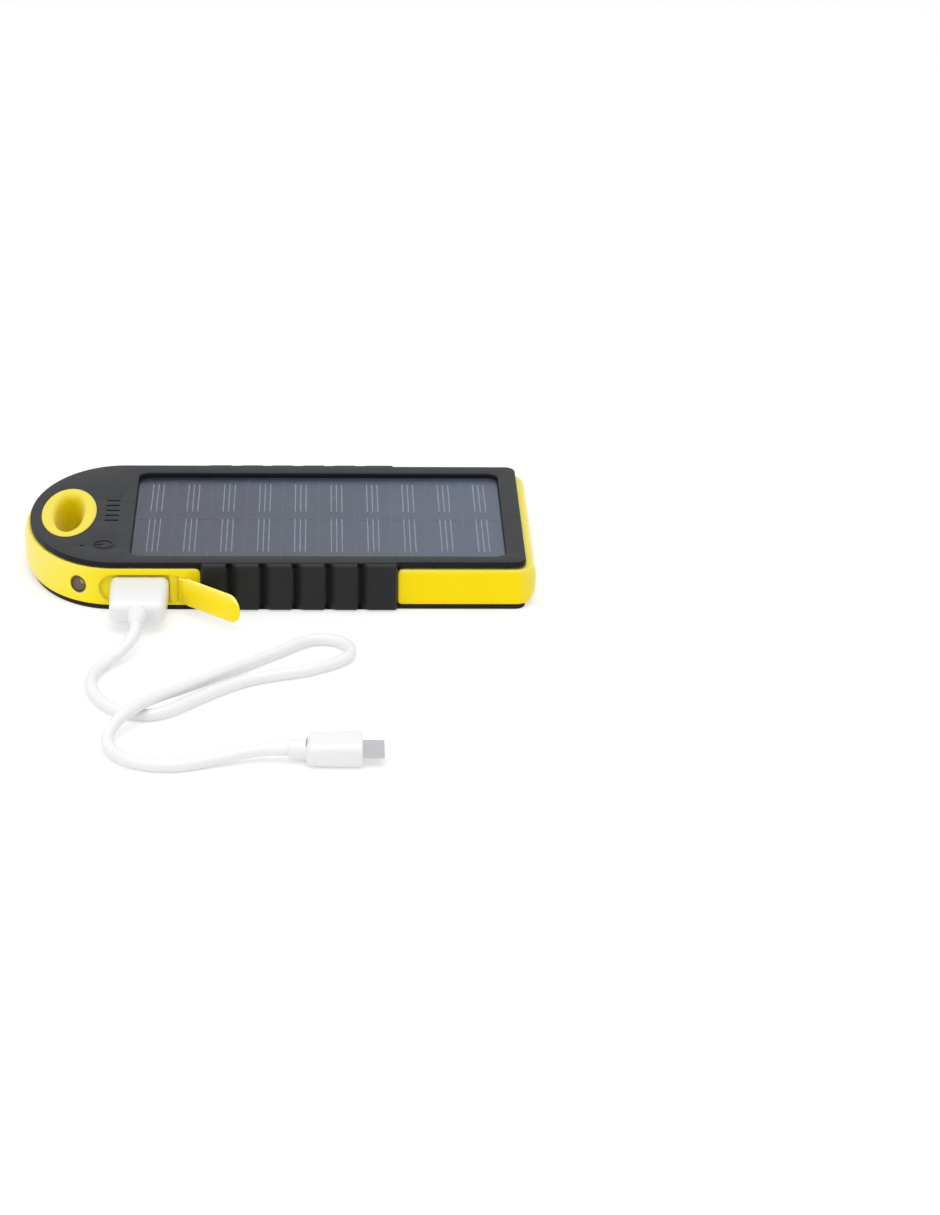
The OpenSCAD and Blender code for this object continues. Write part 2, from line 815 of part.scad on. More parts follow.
// Broken ring and bar, the gap towards -X
module power_symbol() {
    ring_w = 0.55;
    linear_extrude(symbol_h + eps) {
        difference() {
            circle(r = symbol_r, $fn = round_fn);
            circle(r = symbol_r - ring_w, $fn = round_fn);
            translate([-2 * symbol_r, -symbol_r / 3])
                square([2 * symbol_r, symbol_r / 1.5]);
        }
        translate([-symbol_r - 0.2, -ring_w / 2])
            square([symbol_r, ring_w]);
    }
}

module switch_plunger() {
    color([0.85, 0.3, 0.2])
        translate([button_x, button_y, board_top + switch_h - plunger_in])
            cylinder(r = plunger_r, h = plunger_in + plunger_out, $fn = round_fn);
}

module tact_switch() {
    color([0.1, 0.1, 0.11])
        translate([button_x, button_y, board_top])
            difference() {
                translate([-switch_w / 2, -switch_w / 2, 0])
                    cube([switch_w, switch_w, switch_h]);
                translate([0, 0, switch_h - plunger_in - button_travel - fit])
                    cylinder(r = plunger_r + fit, h = switch_h, $fn = round_fn);
            }
}

module indicator_lens() {
    strip_w = slot_l + 0.8;
    strip_l = (slot_count - 1) * slot_pitch + 2.4;
    color([0.1, 0.13, 0.3]) {
        translate([lamp_x - strip_w / 2, lamp_y - strip_l / 2, plate_z - lens_strip_t])
            cube([strip_w, strip_l, lens_strip_t]);
        at_slots(plate_z - eps)
            slot_bar(slot_l - fit, slot_w - fit, plate_t - lens_sink + eps);
    }
}

module light_guide() {
    guide_h = plate_z - lens_strip_t - fit - board_top;
    guide_w = slot_l + 1.7;
    guide_l = (slot_count - 1) * slot_pitch + 4;
    well_w = slot_w + 0.9;
    color([0.08, 0.08, 0.08])
        difference() {
            translate([lamp_x - guide_w / 2, lamp_y - guide_l / 2, board_top])
                cube([guide_w, guide_l, guide_h]);
            at_slots(board_top - 1)
                translate([-slot_l / 2, -well_w / 2, 0])
                    cube([slot_l, well_w, guide_h + 2]);
        }
}

module led_chip() {
    translate([-led_l / 2, -led_w / 2, 0])
        cube([led_l, led_w, led_t]);
}

module indicator_leds() {
    color([0.9, 0.9, 0.8]) {
        at_slots(board_top)
            led_chip();
        translate([charge_x, charge_y, board_top])
            led_chip();
    }
}

module charge_lens() {
    foot_z = board_top + led_t + slide;
    color([0.12, 0.13, 0.16])
        translate([charge_x, charge_y, 0]) {
            translate([0, 0, plate_z - eps])
                cylinder(r = charge_r, h = plate_t - lens_sink + eps, $fn = small_fn);
            translate([0, 0, foot_z])
                cylinder(r = charge_r + 0.25, h = plate_z - foot_z, $fn = small_fn);
        }
}

module torch_reflector() {
    color([0.8, 0.8, 0.78])
        at_torch()
            rotate_extrude($fn = round_fn)
                polygon([[1, -cup_l - 0.5], [torch_r - fit, -cup_l - 0.5], [torch_r - fit, -0.5],
                         [torch_r - 0.35, -0.5], [torch_r - 0.5, -1.3], [1, -cup_l]]);
}

module torch_lens() {
    color([0.8, 0.85, 0.9, 0.4])
        at_torch()
            translate([0, 0, -1.05])
                cylinder(r = torch_r - 0.5, h = 0.45, $fn = round_fn);
}

module torch_led() {
    color([0.9, 0.85, 0.5])
        at_torch() {
            translate([0, 0, -cup_l - 1.3])
                cylinder(r = 1.7, h = 0.8, $fn = round_fn);
            translate([0, 0, -cup_l - 0.6])
                cylinder(r = 0.9, h = 1.6, $fn = round_fn);
            translate([0, 0, -cup_l + 1])
                sphere(r = 0.9, $fn = round_fn);
            for (s = [-1, 1])
                translate([-0.3, s * 0.8, -cup_l - 1.4])
                    rotate([0, 90, 0])
                        cylinder(r = lead_r, h = torch_z - board_top + 0.3, $fn = small_fn);
        }
}

module main_board() {
    color([0.1, 0.35, 0.2])
        translate([0, 0, board_z])
            difference() {
                linear_extrude(board_t) {
                    translate([board_x0, -board_y])
                        square([board_x1 - board_x0, 2 * board_y]);
                    translate([ear_x0, charge_y - ear_w / 2])
                        square([board_x0 - ear_x0 + 1, ear_w]);
                    translate([micro_x - tab_w / 2, board_y - 1])
                        square([tab_w, inner_y - slide - board_y + 1]);
                }
                at_posts(post_screw_r + 0.25, -1, board_t + 1);
            }
}

module board_screws() {
    color([0.6, 0.6, 0.62]) {
        at_posts(2 * post_screw_r, board_top, board_top + 0.9);
        at_posts(post_screw_r, base_t / 2 + fit, board_top + eps);
    }
}

// Folded sheet shell open towards -Y, its mouth at y = 0
module socket_shell(w, h, depth) {
    difference() {
        translate([-w / 2, 0, 0])
            cube([w, depth, h]);
        translate([usb_sheet - w / 2, -1, usb_sheet])
            cube([w - 2 * usb_sheet, depth - socket_back + 1, h - 2 * usb_sheet]);
    }
}

// Contact tongue on its block, filling the back of a socket of the given size; the tongue is
// given by its width, thickness, length and distance above the socket's middle
module tongue(w, h, depth, block_l, size) {
    back = depth - socket_back;
    edge = usb_sheet + fit;
    translate([-size[0] / 2, back - size[2], h / 2 + size[3]])
        cube([size[0], size[2], size[1]]);
    translate([edge - w / 2, back - block_l, edge])
        cube([w - 2 * edge, block_l, h - 2 * edge]);
}

module usb_tongue() {
    tongue(usb_w, usb_h, usb_depth, 1.2, [tongue_w, tongue_t, tongue_l, 0.15]);
}

module at_front_port() {
    translate([front_x, -mouth_y, board_top])
        children();
}

module at_rear_port(x) {
    translate([x, mouth_y, board_top])
        mirror([0, 1, 0])
            children();
}

module front_usb_shell() {
    color([0.75, 0.75, 0.77])
        at_front_port()
            socket_shell(usb_w, usb_h, usb_depth);
}

module front_usb_tongue() {
    color([0.9, 0.9, 0.9])
        at_front_port()
            usb_tongue();
}

module rear_usb_shell() {
    color([0.75, 0.75, 0.77])
        at_rear_port(rear_usb_x)
            socket_shell(usb_w, usb_h, usb_depth);
}

module rear_usb_tongue() {
    color([0.9, 0.9, 0.9])
        at_rear_port(rear_usb_x)
            usb_tongue();
}

module micro_usb_shell() {
    color([0.75, 0.75, 0.77])
        at_rear_port(micro_x)
            socket_shell(micro_w, micro_h, micro_depth);
}

module micro_usb_tongue() {
    color([0.1, 0.1, 0.1])
        at_rear_port(micro_x)
            tongue(micro_w, micro_h, micro_depth, 0.8, [3.8, 0.6, 3.6, 0.1]);
}

// Four flat chips, each given in chip widths: from the board's end, from the middle line, size
module control_chips() {
    color([0.07, 0.07, 0.08])
        for (c = [[-3.1, -1.8, 1], [-2.8, 1.8, 0.9], [-4.4, 2.8, 0.8], [-3.9, -0.2, 0.6]])
            translate([board_x1 + c[0] * chip_w, (c[1] - c[2] / 2) * chip_w, board_top])
                cube([c[2] * chip_w, c[2] * chip_w, chip_t]);
}

module choke() {
    color([0.2, 0.2, 0.22])
        translate([board_x1 - 0.75 * choke_w, -1.75 * choke_w, board_top]) {
            translate([-choke_w / 2, -choke_w / 2, 0])
                cube([choke_w, choke_w, 1]);
            cylinder(r = choke_r, h = choke_r, $fn = round_fn);
            translate([0, 0, choke_r - eps])
                cylinder(r = choke_w / 2 - fit, h = 0.6, $fn = round_fn);
        }
}

module capacitors() {
    color([0.5, 0.52, 0.6])
        for (i = [2, 3])
            translate([board_x1 - cap_w, (i + 0.2) * cap_w * 1.05, board_top]) {
                translate([-cap_w / 2, -cap_w / 2, 0])
                    cube([cap_w, cap_w, 0.5]);
                cylinder(r = cap_r, h = 2 * cap_r + 0.2, $fn = round_fn);
            }
}

module battery_pack() {
    color([0.7, 0.72, 0.75])
        translate([(pack_x0 + pack_x1) / 2, 0, pack_z])
            linear_extrude(pack_t)
                polygon(round_box(pack_x1 - pack_x0, 2 * pack_y, 1.5));
}

module battery_pad() {
    color([0.15, 0.15, 0.15])
        translate([pack_x0 + 3, -pack_y + 4, base_t])
            cube([pack_x1 - pack_x0 - 6, 2 * pack_y - 8, pad_t]);
}

// Bent wire through the given points
module wire(points, r) {
    for (i = [0:len(points) - 2]) {
        d = points[i + 1] - points[i];
        translate(points[i])
            rotate([0, acos(d[2] / norm(d)), atan2(d[1], d[0])])
                cylinder(r = r, h = norm(d), $fn = small_fn);
        if (i > 0)
            translate(points[i])
                sphere(r = r, $fn = small_fn);
    }
}

module battery_leads() {
    color([0.7, 0.1, 0.1])
        for (y = [-5, -2])
            wire([[pack_x0, y, pack_z + pack_t - 2], [board_x1 - 1, y, pack_z + pack_t - 2],
                  [board_x1 - 1, y, board_top]], 0.7);
}

module panel_leads() {
    color([0.7, 0.1, 0.1])
        for (y = [-leads_y, leads_y])
            wire([[leads_x, y, board_top], [leads_x, y, panel_board_z]], panel_wire_r);
}

// Rectangular sheet tube along +Y, centred on X and Z
module sheet_tube(w, h, l, sheet) {
    difference() {
        translate([-w / 2, 0, -h / 2])
            cube([w, l, h]);
        translate([sheet - w / 2, -1, sheet - h / 2])
            cube([w - 2 * sheet, l + 2, h - 2 * sheet]);
    }
}

// Shell of the large plug, with its two square windows in both broad faces
module plug_shell() {
    color([0.78, 0.78, 0.8])
        translate([front_x, -plug_y, port_z])
            difference() {
                sheet_tube(plug_shell_w, plug_shell_h, plug_shell_l, plug_sheet);
                for (s = [-1, 1])
                    translate([s * plug_window_x, plug_window_y, 0])
                        cube([plug_window, plug_window, 2 * plug_shell_h], center = true);
            }
}

module plug_insulator() {
    w = plug_shell_w - 2 * (plug_sheet + 0.05);
    h = plug_shell_h / 2 - plug_sheet - 0.2;
    color([0.92, 0.92, 0.92])
        translate([front_x - w / 2, -plug_y, port_z - h - 0.15])
            cube([w, plug_shell_l - 0.3, h]);
}

module plug_grip() {
    color([0.94, 0.94, 0.94])
        translate([front_x, -plug_y, port_z])
            rotate([90, 0, 0])
                linear_extrude(plug_l)
                    polygon(round_box(plug_w, plug_h, 1.2));
}

module plug_relief() {
    color([0.92, 0.92, 0.92])
        translate([front_x, -plug_y - plug_l, port_z])
            rotate([90, 0, 0])
                cylinder(r1 = 2.8, r2 = cord_d / 2 + 0.2, h = relief_l, $fn = round_fn);
}

// Point of a smooth curve through the route: segment i, share u along it
function route_at(i) = route[max(0, min(len(route) - 1, i))];
function blend_at(a, b, c, d, u) =
    0.5 * (2 * b + (c - a) * u + (2 * a - 5 * b + 4 * c - d) * u * u
    + (3 * b - a - 3 * c + d) * u * u * u);
function smooth_at(i, u) =
    blend_at(route_at(i - 1), route_at(i), route_at(i + 1), route_at(i + 2), u);
function unit(v) = v / norm(v);
function above(p) = [p[0], p[1], max(p[2], cord_d / 2)];

// Tube of the given radius along a list of points, its rings standing square to the path,
// and the first and last of them square to the two given directions
module tube(path, r, sides, start, finish) {
    last = len(path) - 1;
    points = [
        for (i = [0:last])
            let (
                t = i == 0 ? start : i == last ? finish : unit(path[i + 1] - path[i - 1]),
                s = unit(cross([0, 0, 1], t)),
                u = cross(t, s)
            )
            for (k = [0:sides - 1])
                path[i] + r * cos(360 * k / sides) * s + r * sin(360 * k / sides) * u
    ];
    walls = [
        for (i = [0:last - 1])
            for (k = [0:sides - 1])
                let (a = i * sides + k, b = i * sides + (k + 1) % sides)
                for (f = [[a, a + sides, b], [b, a + sides, b + sides]])
                    f
    ];
    first_cap = [[for (k = [0:sides - 1]) k]];
    last_cap = [[for (k = [sides - 1:-1:0]) last * sides + k]];
    polyhedron(points = points, faces = concat(walls, first_cap, last_cap));
}

module cable() {
    path = concat(
        [for (i = [0:len(route) - 2]) for (k = [0:cord_sub - 1]) above(smooth_at(i, k / cord_sub))],
        [route[len(route) - 1]]
    );
    color([0.93, 0.93, 0.93])
        tube(path, cord_d / 2, cord_sides, [0, -1, 0], [1, 0, 0]);
}

module at_route_end() {
    translate(route[len(route) - 1])
        children();
}

module micro_relief() {
    color([0.92, 0.92, 0.92])
        at_route_end()
            rotate([0, 90, 0])
                cylinder(r1 = 2.7, r2 = 3, h = micro_relief_l, $fn = round_fn);
}

module micro_grip() {
    color([0.94, 0.94, 0.94])
        at_route_end()
            translate([micro_relief_l, 0, 0])
                rotate([90, 0, 90])
                    linear_extrude(micro_grip_l)
                        polygon(round_box(micro_grip_w, micro_grip_h, 2));
}

module micro_shell() {
    w = 6.85;
    h = 1.8;
    l = 5.4;
    color([0.78, 0.78, 0.8])
        at_route_end()
            translate([micro_relief_l + micro_grip_l, 0, 0])
                difference() {
                    translate([0, -w / 2, -h / 2])
                        cube([l, w, h]);
                    translate([1, plug_sheet - w / 2, plug_sheet - h / 2])
                        cube([l, w - 2 * plug_sheet, h - 2 * plug_sheet]);
                }
}

bottom_shell();
top_shell();
case_seal();
case_screws();
nose_bumper();
tail_bumper();
side_grip_front();
side_grip_rear();
lanyard_eye();
front_flap();
rear_flap();
panel_adhesive();
panel_board();
solar_cells();
cell_lines();
panel_cover();
power_button();
switch_plunger();
tact_switch();
indicator_lens();
light_guide();
indicator_leds();
charge_lens();
torch_reflector();
torch_lens();
torch_led();
main_board();
board_screws();
front_usb_shell();
front_usb_tongue();
rear_usb_shell();
rear_usb_tongue();
micro_usb_shell();
micro_usb_tongue();
control_chips();
choke();
capacitors();
battery_pack();
battery_pad();
battery_leads();
panel_leads();
plug_shell();
plug_insulator();
plug_grip();
plug_relief();
cable();
micro_relief();
micro_grip();
micro_shell();
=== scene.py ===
import json

import bmesh
import bpy
import numpy as np
from mathutils import Matrix, Vector
from mathutils.geometry import delaunay_2d_cdt


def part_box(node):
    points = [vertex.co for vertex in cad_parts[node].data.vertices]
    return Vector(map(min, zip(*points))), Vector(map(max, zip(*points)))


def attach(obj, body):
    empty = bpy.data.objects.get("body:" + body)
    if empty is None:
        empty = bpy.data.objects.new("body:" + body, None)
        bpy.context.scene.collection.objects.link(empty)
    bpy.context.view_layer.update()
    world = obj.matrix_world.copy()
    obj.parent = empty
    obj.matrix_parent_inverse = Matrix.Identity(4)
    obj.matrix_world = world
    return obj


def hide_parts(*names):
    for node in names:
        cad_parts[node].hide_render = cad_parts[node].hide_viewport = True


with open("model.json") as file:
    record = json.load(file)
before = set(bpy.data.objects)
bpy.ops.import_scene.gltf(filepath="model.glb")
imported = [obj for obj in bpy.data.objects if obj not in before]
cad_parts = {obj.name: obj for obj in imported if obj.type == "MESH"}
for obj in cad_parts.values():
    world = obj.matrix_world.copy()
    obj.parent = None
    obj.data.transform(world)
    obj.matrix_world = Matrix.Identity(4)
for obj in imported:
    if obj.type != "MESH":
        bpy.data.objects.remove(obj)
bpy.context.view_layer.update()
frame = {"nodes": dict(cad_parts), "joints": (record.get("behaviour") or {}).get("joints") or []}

print("frame loaded:", len(frame["nodes"]), "nodes")
scene = bpy.context.scene
scene.view_settings.view_transform = "Standard"
mm = 0.001

# The camera: its place, its turns in radians (left of +Y, below the horizon, about its own axis)
# and its lens in millimetres.
cameraView = {
    "place": (0.01234, -0.93508, 0.39749),
    "yaw": -0.0449,
    "pitch": 0.41516,
    "roll": 0.0195,
    "lens": 106.44,
}


def addCamera(v):
    camera = bpy.data.objects.new("camera", bpy.data.cameras.new("camera"))
    camera.data.lens = v["lens"]
    camera.data.clip_start = 0.01
    aim = (Matrix.Rotation(v["yaw"], 4, "Z") @ Matrix.Rotation(np.pi / 2 - v["pitch"], 4, "X")
           @ Matrix.Rotation(v["roll"], 4, "Z"))
    camera.matrix_world = Matrix.Translation(v["place"]) @ aim
    scene.collection.objects.link(camera)
    scene.camera = camera


addCamera(cameraView)
print("camera placed")


def mathMethod(operation, flipped=False):
    # an operator of the class below; flipped is its reflected form
    return lambda self, other: self.math(operation, *((other, self) if flipped else (self, other)))


class Wire:
    # A shader socket: arithmetic on it adds Math nodes, and add() puts in any other node.

    def __init__(self, tree, socket=None):
        self.tree = tree
        self.socket = socket

    def add(self, kind, settings={}, values={}, out=0):
        node = self.tree.nodes.new("ShaderNode" + kind)
        for key, value in settings.items():
            setattr(node, key, value)
        for key, value in values.items():
            if isinstance(value, Wire):
                self.tree.links.new(value.socket, node.inputs[key])
            else:
                node.inputs[key].default_value = value
        return Wire(self.tree, node.outputs[out])

    def split(self, kind, *names):
        node = self.add(kind, {}, {0: self} if self.socket else {}).socket.node
        return [Wire(self.tree, node.outputs[name]) for name in names]

    def math(self, operation, *terms):
        return self.add("Math", {"operation": operation}, dict(enumerate(terms)))

    __add__ = __radd__ = mathMethod("ADD")
    __mul__ = __rmul__ = mathMethod("MULTIPLY")
    __sub__, __rsub__ = mathMethod("SUBTRACT"), mathMethod("SUBTRACT", True)
    __truediv__, __rtruediv__ = mathMethod("DIVIDE"), mathMethod("DIVIDE", True)
    __pow__, __rpow__ = mathMethod("POWER"), mathMethod("POWER", True)


def tint(text, level=1.0):
    # a linear colour from its six hexadecimal digits, lightened or darkened by level
    coded = [int(text[k:k + 2], 16) / 255 for k in (1, 3, 5)]
    flat = [c / 12.92 if c < 0.04045 else ((c + 0.055) / 1.055) ** 2.4 for c in coded]
    return (*[min(1.0, c * level) for c in flat], 1.0)


def blendTints(share, *ends):
    # the mix of two colours, each a wire, a tuple or six digits, by a share
    low, high = (tint(end) if isinstance(end, str) else end for end in ends)
    return share.add("Mix", {"data_type": "RGBA"}, {0: share, 6: low, 7: high}, out=2)


def noise(place, scale, detail, stretch=None):
    # noise about 0.5; stretch squeezes it along each axis
    if stretch:
        place = place.add("Mapping", {}, {"Vector": place, "Scale": stretch})
    return place.add("TexNoise", {}, {"Vector": place, "Scale": scale, "Detail": detail}, out="Fac")


def startMaterial(name, sockets):
    # a material with its shader's plain sockets set, and a wire of the object place
    material = bpy.data.materials.new(name)
    material.use_nodes = True
    shader = material.node_tree.nodes["Principled BSDF"]
    for key, value in sockets.items():
        shader.inputs[key].default_value = value
    return material, Wire(material.node_tree).add("TexCoord", out="Object")


def plug(material, **wires):
    # joins wires to the shader's sockets, named without their spaces
    shader = material.node_tree.nodes["Principled BSDF"]
    for key, wire in wires.items():
        name = "".join(" " + c if c.isupper() else c for c in key).strip()
        wire.tree.links.new(wire.socket, shader.inputs[name])
    return material


def bumped(height, relief):
    # a bump, with its relief in millimetres
    return height.add("Bump", {}, {"Height": height, "Distance": relief * mm})


def filled(usual, row):
    # a finish's values: its row, in the order of the usual ones, which fill in the rest
    return {**usual, **dict(zip(usual, row))}


def facing(wire, low, high, rearward, endward):
    # rises from 0 to 1 as a face's upward turn, helped by its turns to the rear and to either
    #     # end, goes from low to high; it is the mask for the moulded finishes' painted shade and painted
    #     highlight
    along, across, up = wire.add("TexCoord", out="Normal").split("SeparateXYZ", "X", "Y", "Z")
    turn = up + across.math("MAXIMUM", across, 0) * rearward + along.math("ABSOLUTE", along) * endward
    return turn.add("MapRange", {"interpolation_type": "SMOOTHSTEP"},
                    {"Value": turn, "From Min": low, "From Max": high})


# A moulded finish's values: relief is in millimetres, spread is the colour's drift over patches,
# # side is the colour of painted shade on faces that don't look up, and the colour after it that of
# # painted highlight on faces that do, or that face the object's ends, as much as ends says.
usualMould = {"colour": "#808080", "rough": 0.5, "relief": 0.012, "spread": 0.06, "gloss": 0.5, "sheen": 0.0,
              "grain": 2600, "patch": 90, "side": None, "pale": None, "ends": 0.0}
paintedShadeTurn, paintedHighlightTurn = (0.55, 0.93, 0.8, 0.0), (0.0, 0.75, 0.0)    # as facing takes them
usualMetal = {"colour": "#808080", "rough": 0.3, "grain": 1500, "relief": 0.01, "stretch": (1, 0.08, 1)}


def moulded(name, row):
    # Plastic or rubber: colour and roughness drift with two noises, and a fine noise is the grain.
    look = filled(usualMould, row)
    colour, spread, patch, grain = (look[key] for key in ("colour", "spread", "patch", "grain"))
    material, place = startMaterial(name, {
        "Specular IOR Level": look["gloss"], "Sheen Weight": look["sheen"], "Sheen Roughness": 0.3})
    base = blendTints(noise(place, patch, 3), tint(colour, 1 - spread), tint(colour, 1 + spread))
    # painted shade: faces that don't look up take the side colour
    if look["side"]:
        base = blendTints(facing(place, *paintedShadeTurn), look["side"], base)
    # painted highlight: faces that look up, or towards the ends, take the paler colour
    if look["pale"]:
        base = blendTints(facing(place, *paintedHighlightTurn, look["ends"]), base, look["pale"])
    fine = noise(place, grain, 3) + noise(place, grain / 5, 2) * 0.6
    return plug(material, BaseColor=base, Normal=bumped(fine, look["relief"]),
                Roughness=look["rough"] + (noise(place, patch * 2.3, 4) - 0.5) * 0.12)


def brushed(name, row):
    # plated sheet: short scratches along one axis in the roughness and the bump
    look = filled(usualMetal, row)
    material, place = startMaterial(name, {"Metallic": 1.0})
    scratch = noise(place, look["grain"], 4, look["stretch"])
    cloud = blendTints(noise(place, 160, 3), tint(look["colour"], 0.9), look["colour"])
    rough = look["rough"] + (scratch - 0.5) * 0.25
    return plug(material, BaseColor=cloud, Roughness=rough, Normal=bumped(scratch, look["relief"]))


# topPlastic and buttonPlastic have a painted shade colour for their sides; the four yellow rubbers have a
# painted highlight colour for their tops and ends.
moulds = {
    "topPlastic": ("#26282b", 0.5, 0.02, 0.08, 0.16, 0.0, 3200, 90, "#131415"),
    "basePlastic": ("#19191b", 0.5, 0.02, 0.06, 0.2, 0.0, 3200),
    "buttonPlastic": ("#25272a", 0.5, 0.012, 0.06, 0.16, 0.0, 2600, 90, "#121213"),
    "symbolPlastic": ("#09090b", 0.45, 0.008, 0.06, 0.16),
    "bandRubber": ("#f8e30c", 0.36, 0.014, 0.03, 0.2, 0.35, 2800, 90, None, "#f2e260", 0.6),
    "tailRubber": ("#f4d800", 0.26, 0.014, 0.03, 0.1, 0.5, 2800, 90, None, "#ecdc56", 0.7),
    "eyeRubber": ("#f0dc0c", 0.4, 0.012, 0.03, 0.16, 0.1, 2600, 90, None, "#e6d446"),
    "flapRubber": ("#fbe002", 0.42, 0.012, 0.03, 0.2, 0.25, 2600, 90, None, "#faec70"),
    "gripRubber": ("#1b1c1e", 0.5, 0.02, 0.12, 0.25, 0.12),
    "sealRubber": ("#141414", 0.7),
    "whitePlug": ("#e5e5e6", 0.3, 0.006, 0.01),
    "cableJacket": ("#e6e6e7", 0.42, 0.01, 0.015),
    "blackPlastic": ("#161617", 0.4),
    "redPlastic": ("#b8402c", 0.4),
    "whitePlastic": ("#e4e4e2", 0.4),
    "boardLaminate": ("#6a748a", 0.45, 0.012, 0.06, 0.25),
    "tape": ("#d8d8d0", 0.7, 0.012, 0.1),
    "ferrite": ("#333335", 0.6, 0.012, 0.2),
    "foam": ("#1d1d1d", 0.9, 0.08, 0.06, 0.5, 0.0, 1200),
    "redWire": ("#a51515", 0.35),
    "blueLens": ("#0a1133", 0.3, 0.004, 0.06, 0.15, 0.0, 2600, 500),
    "lampLens": ("#0a0b10", 0.12, 0.004),
    "lampChip": ("#d9c25a", 0.3, 0.012, 0.06, 0.5, 0.0, 2600, 900),
}
metals = {
    "screwSteel": ("#9a9a9c", 0.35),
    "socketSteel": ("#c6c6ca", 0.3, 1500, 0.01, (0.08, 1, 1)),
    "canMetal": ("#b9bcc2", 0.3),
    "pouchFoil": ("#b4b7bc", 0.38, 500, 0.05),
    # painted shade and painted yellow reflection: the torch reflector is coloured dark brown
    "cupShadeAndReflection": ("#75644a", 0.24, 1500, 0.01, (1, 1, 1)),
}
materials = {name: moulded(name, row) for name, row in moulds.items()}
materials.update({name: brushed(name, row) for name, row in metals.items()})


def cellSilicon(name, look):
    # Each cell's own tint comes from its column and row, under faint fingers and crystals.
    low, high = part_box("solar_cells")
    material, place = startMaterial(name, {"Roughness": 0.35, "Specular IOR Level": 0.25})
    along, across = place.split("SeparateXYZ", "X", "Y")
    column = along.math("FLOOR", (along - low[0]) * (look["columns"] / (high[0] - low[0])))
    row = along.math("FLOOR", (across - low[1]) * (look["rows"] / (high[1] - low[1])))
    own = column.add("TexWhiteNoise", {"noise_dimensions": "1D"}, {"W": column + row * 17.3}, out="Value")
    crystals = place.add("TexVoronoi", {}, {"Vector": place, "Scale": look["crystals"]}, out="Color")
    half = look["finger"] * mm / 2
    fingers = across.math("PINGPONG", across, half) / half
    tone = own * look["own"] + noise(place, 55, 2) * (1 - look["own"])
    base = blendTints(tone, look["blue"], look["violet"])
    base = blendTints(crystals.split("SeparateColor", "Red")[0] * look["grained"], base, look["light"])
    return plug(material, BaseColor=blendTints(fingers ** 6 * look["lined"], base, look["silver"]))


def printedLines(name, look):
    # silver lines that thin out past the given lengths, in millimetres across the panel
    material = moulded(name, look["mould"])
    across = Wire(material.node_tree).add("TexCoord", out="Object").split("SeparateXYZ", "Y")[0] / mm
    shown = 0.0
    for start, stop in look["lengths"]:
        middle, half = (start + stop) / 2, (stop - start) / 2
        past = (across - middle).math("ABSOLUTE", across - middle)
        shown = shown + past.add("MapRange", {"interpolation_type": "SMOOTHSTEP"}, {
            "Value": past, "From Min": half - look["fade"], "From Max": half, "To Min": 1.0, "To Max": 0.0})
    return plug(material, Alpha=shown)


def resinCover(name, look):
    # clear resin, which shows the cells through it; its colour runs from dark at low X to lighter at high X,
    # a painted reflection, under a faint noise haze
    low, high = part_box("panel_cover")
    material, place = startMaterial(name, {"Alpha": look["alpha"], "IOR": look["ior"]})
    along = (place.split("SeparateXYZ", "X")[0] - low[0]) / (high[0] - low[0])
    share = along * 0.7 + noise(place, 70, 3) * 0.3
    return plug(material, BaseColor=blendTints(share, look["near"], look["far"]),
                Roughness=look["rough"] + (noise(place, 300, 4) - 0.5) * 0.06,
                Normal=bumped(noise(place, 120, 2), look["relief"]))


def clearPlastic(name, look):
    # tinted plastic that is clear by its alpha
    material, place = startMaterial(name, {"Alpha": look["alpha"], "IOR": 1.5})
    cloud = blendTints(noise(place, 400, 2), tint(look["colour"], 0.9), look["colour"])
    return plug(material, BaseColor=cloud, Roughness=0.08 + noise(place, 900, 2) * 0.08)


def circuitBoard(name, look):
    # green solder resist with lighter tracks along the edges of a cell pattern
    material, place = startMaterial(name, {"Coat Weight": 0.2})
    away = place.add("TexVoronoi", {"feature": "DISTANCE_TO_EDGE"},
                     {"Vector": place, "Scale": look["cells"]}, out="Distance")
    line = away.add("MapRange", {}, {"Value": away, "From Min": look["line"], "From Max": 0.0})
    return plug(material, BaseColor=blendTints(line, look["resist"], look["track"]),
                Roughness=0.35 + noise(place, 600, 2) * 0.15)


printedRows = ((4.6, 27.0), (-24.4, 0.9))    # how far across the panel the silver lines reach
otherLooks = {
    "silicon": (cellSilicon, {"columns": 10, "rows": 2, "finger": 1.1, "crystals": 420, "blue": "#455064",
                              "violet": "#524f60", "light": "#66748a", "silver": "#7f8ca8",
                              "own": 0.6, "grained": 0.25, "lined": 0.35}),
    "resin": (resinCover, {"near": "#343842", "far": "#64728a", "alpha": 0.35, "ior": 1.55, "rough": 0.16,
                           "relief": 0.004}),
    "silverPaste": (printedLines, {"mould": ("#d6dfff", 0.45, 0.012, 0.3, 0.5, 0.0, 2600, 300),
                                   "lengths": printedRows, "fade": 1.6}),
    # the torch glass's beige tint is a painted highlight over the reflector
    "torchGlass": (clearPlastic, {"colour": "#b9a98c", "alpha": 0.17}),
    "greenBoard": (circuitBoard, {"resist": "#10502a", "track": "#2e7d4a", "cells": 520,
                                  "line": 0.06}),
}
materials.update({name: make(name, look) for name, (make, look) in otherLooks.items()})
print("materials made:", len(materials))


def turns(n):
    # n equal steps of a full turn
    return np.linspace(0, 2 * np.pi, n, endpoint=False)


def quarter(n):
    # n angles of a quarter turn
    return np.linspace(0, np.pi / 2, n)


def unit(vectors):
    # each divided by its own length
    return vectors / np.linalg.norm(vectors, axis=1, keepdims=True)


def travelled(path):
    # how far along the path each of its points lies
    return np.concatenate([[0], np.cumsum(np.linalg.norm(np.diff(path, axis=0), axis=1))])


def abreast(*values):
    # the values side by side as an array's columns; each is an array or one number
    return np.column_stack(np.broadcast_arrays(*values))


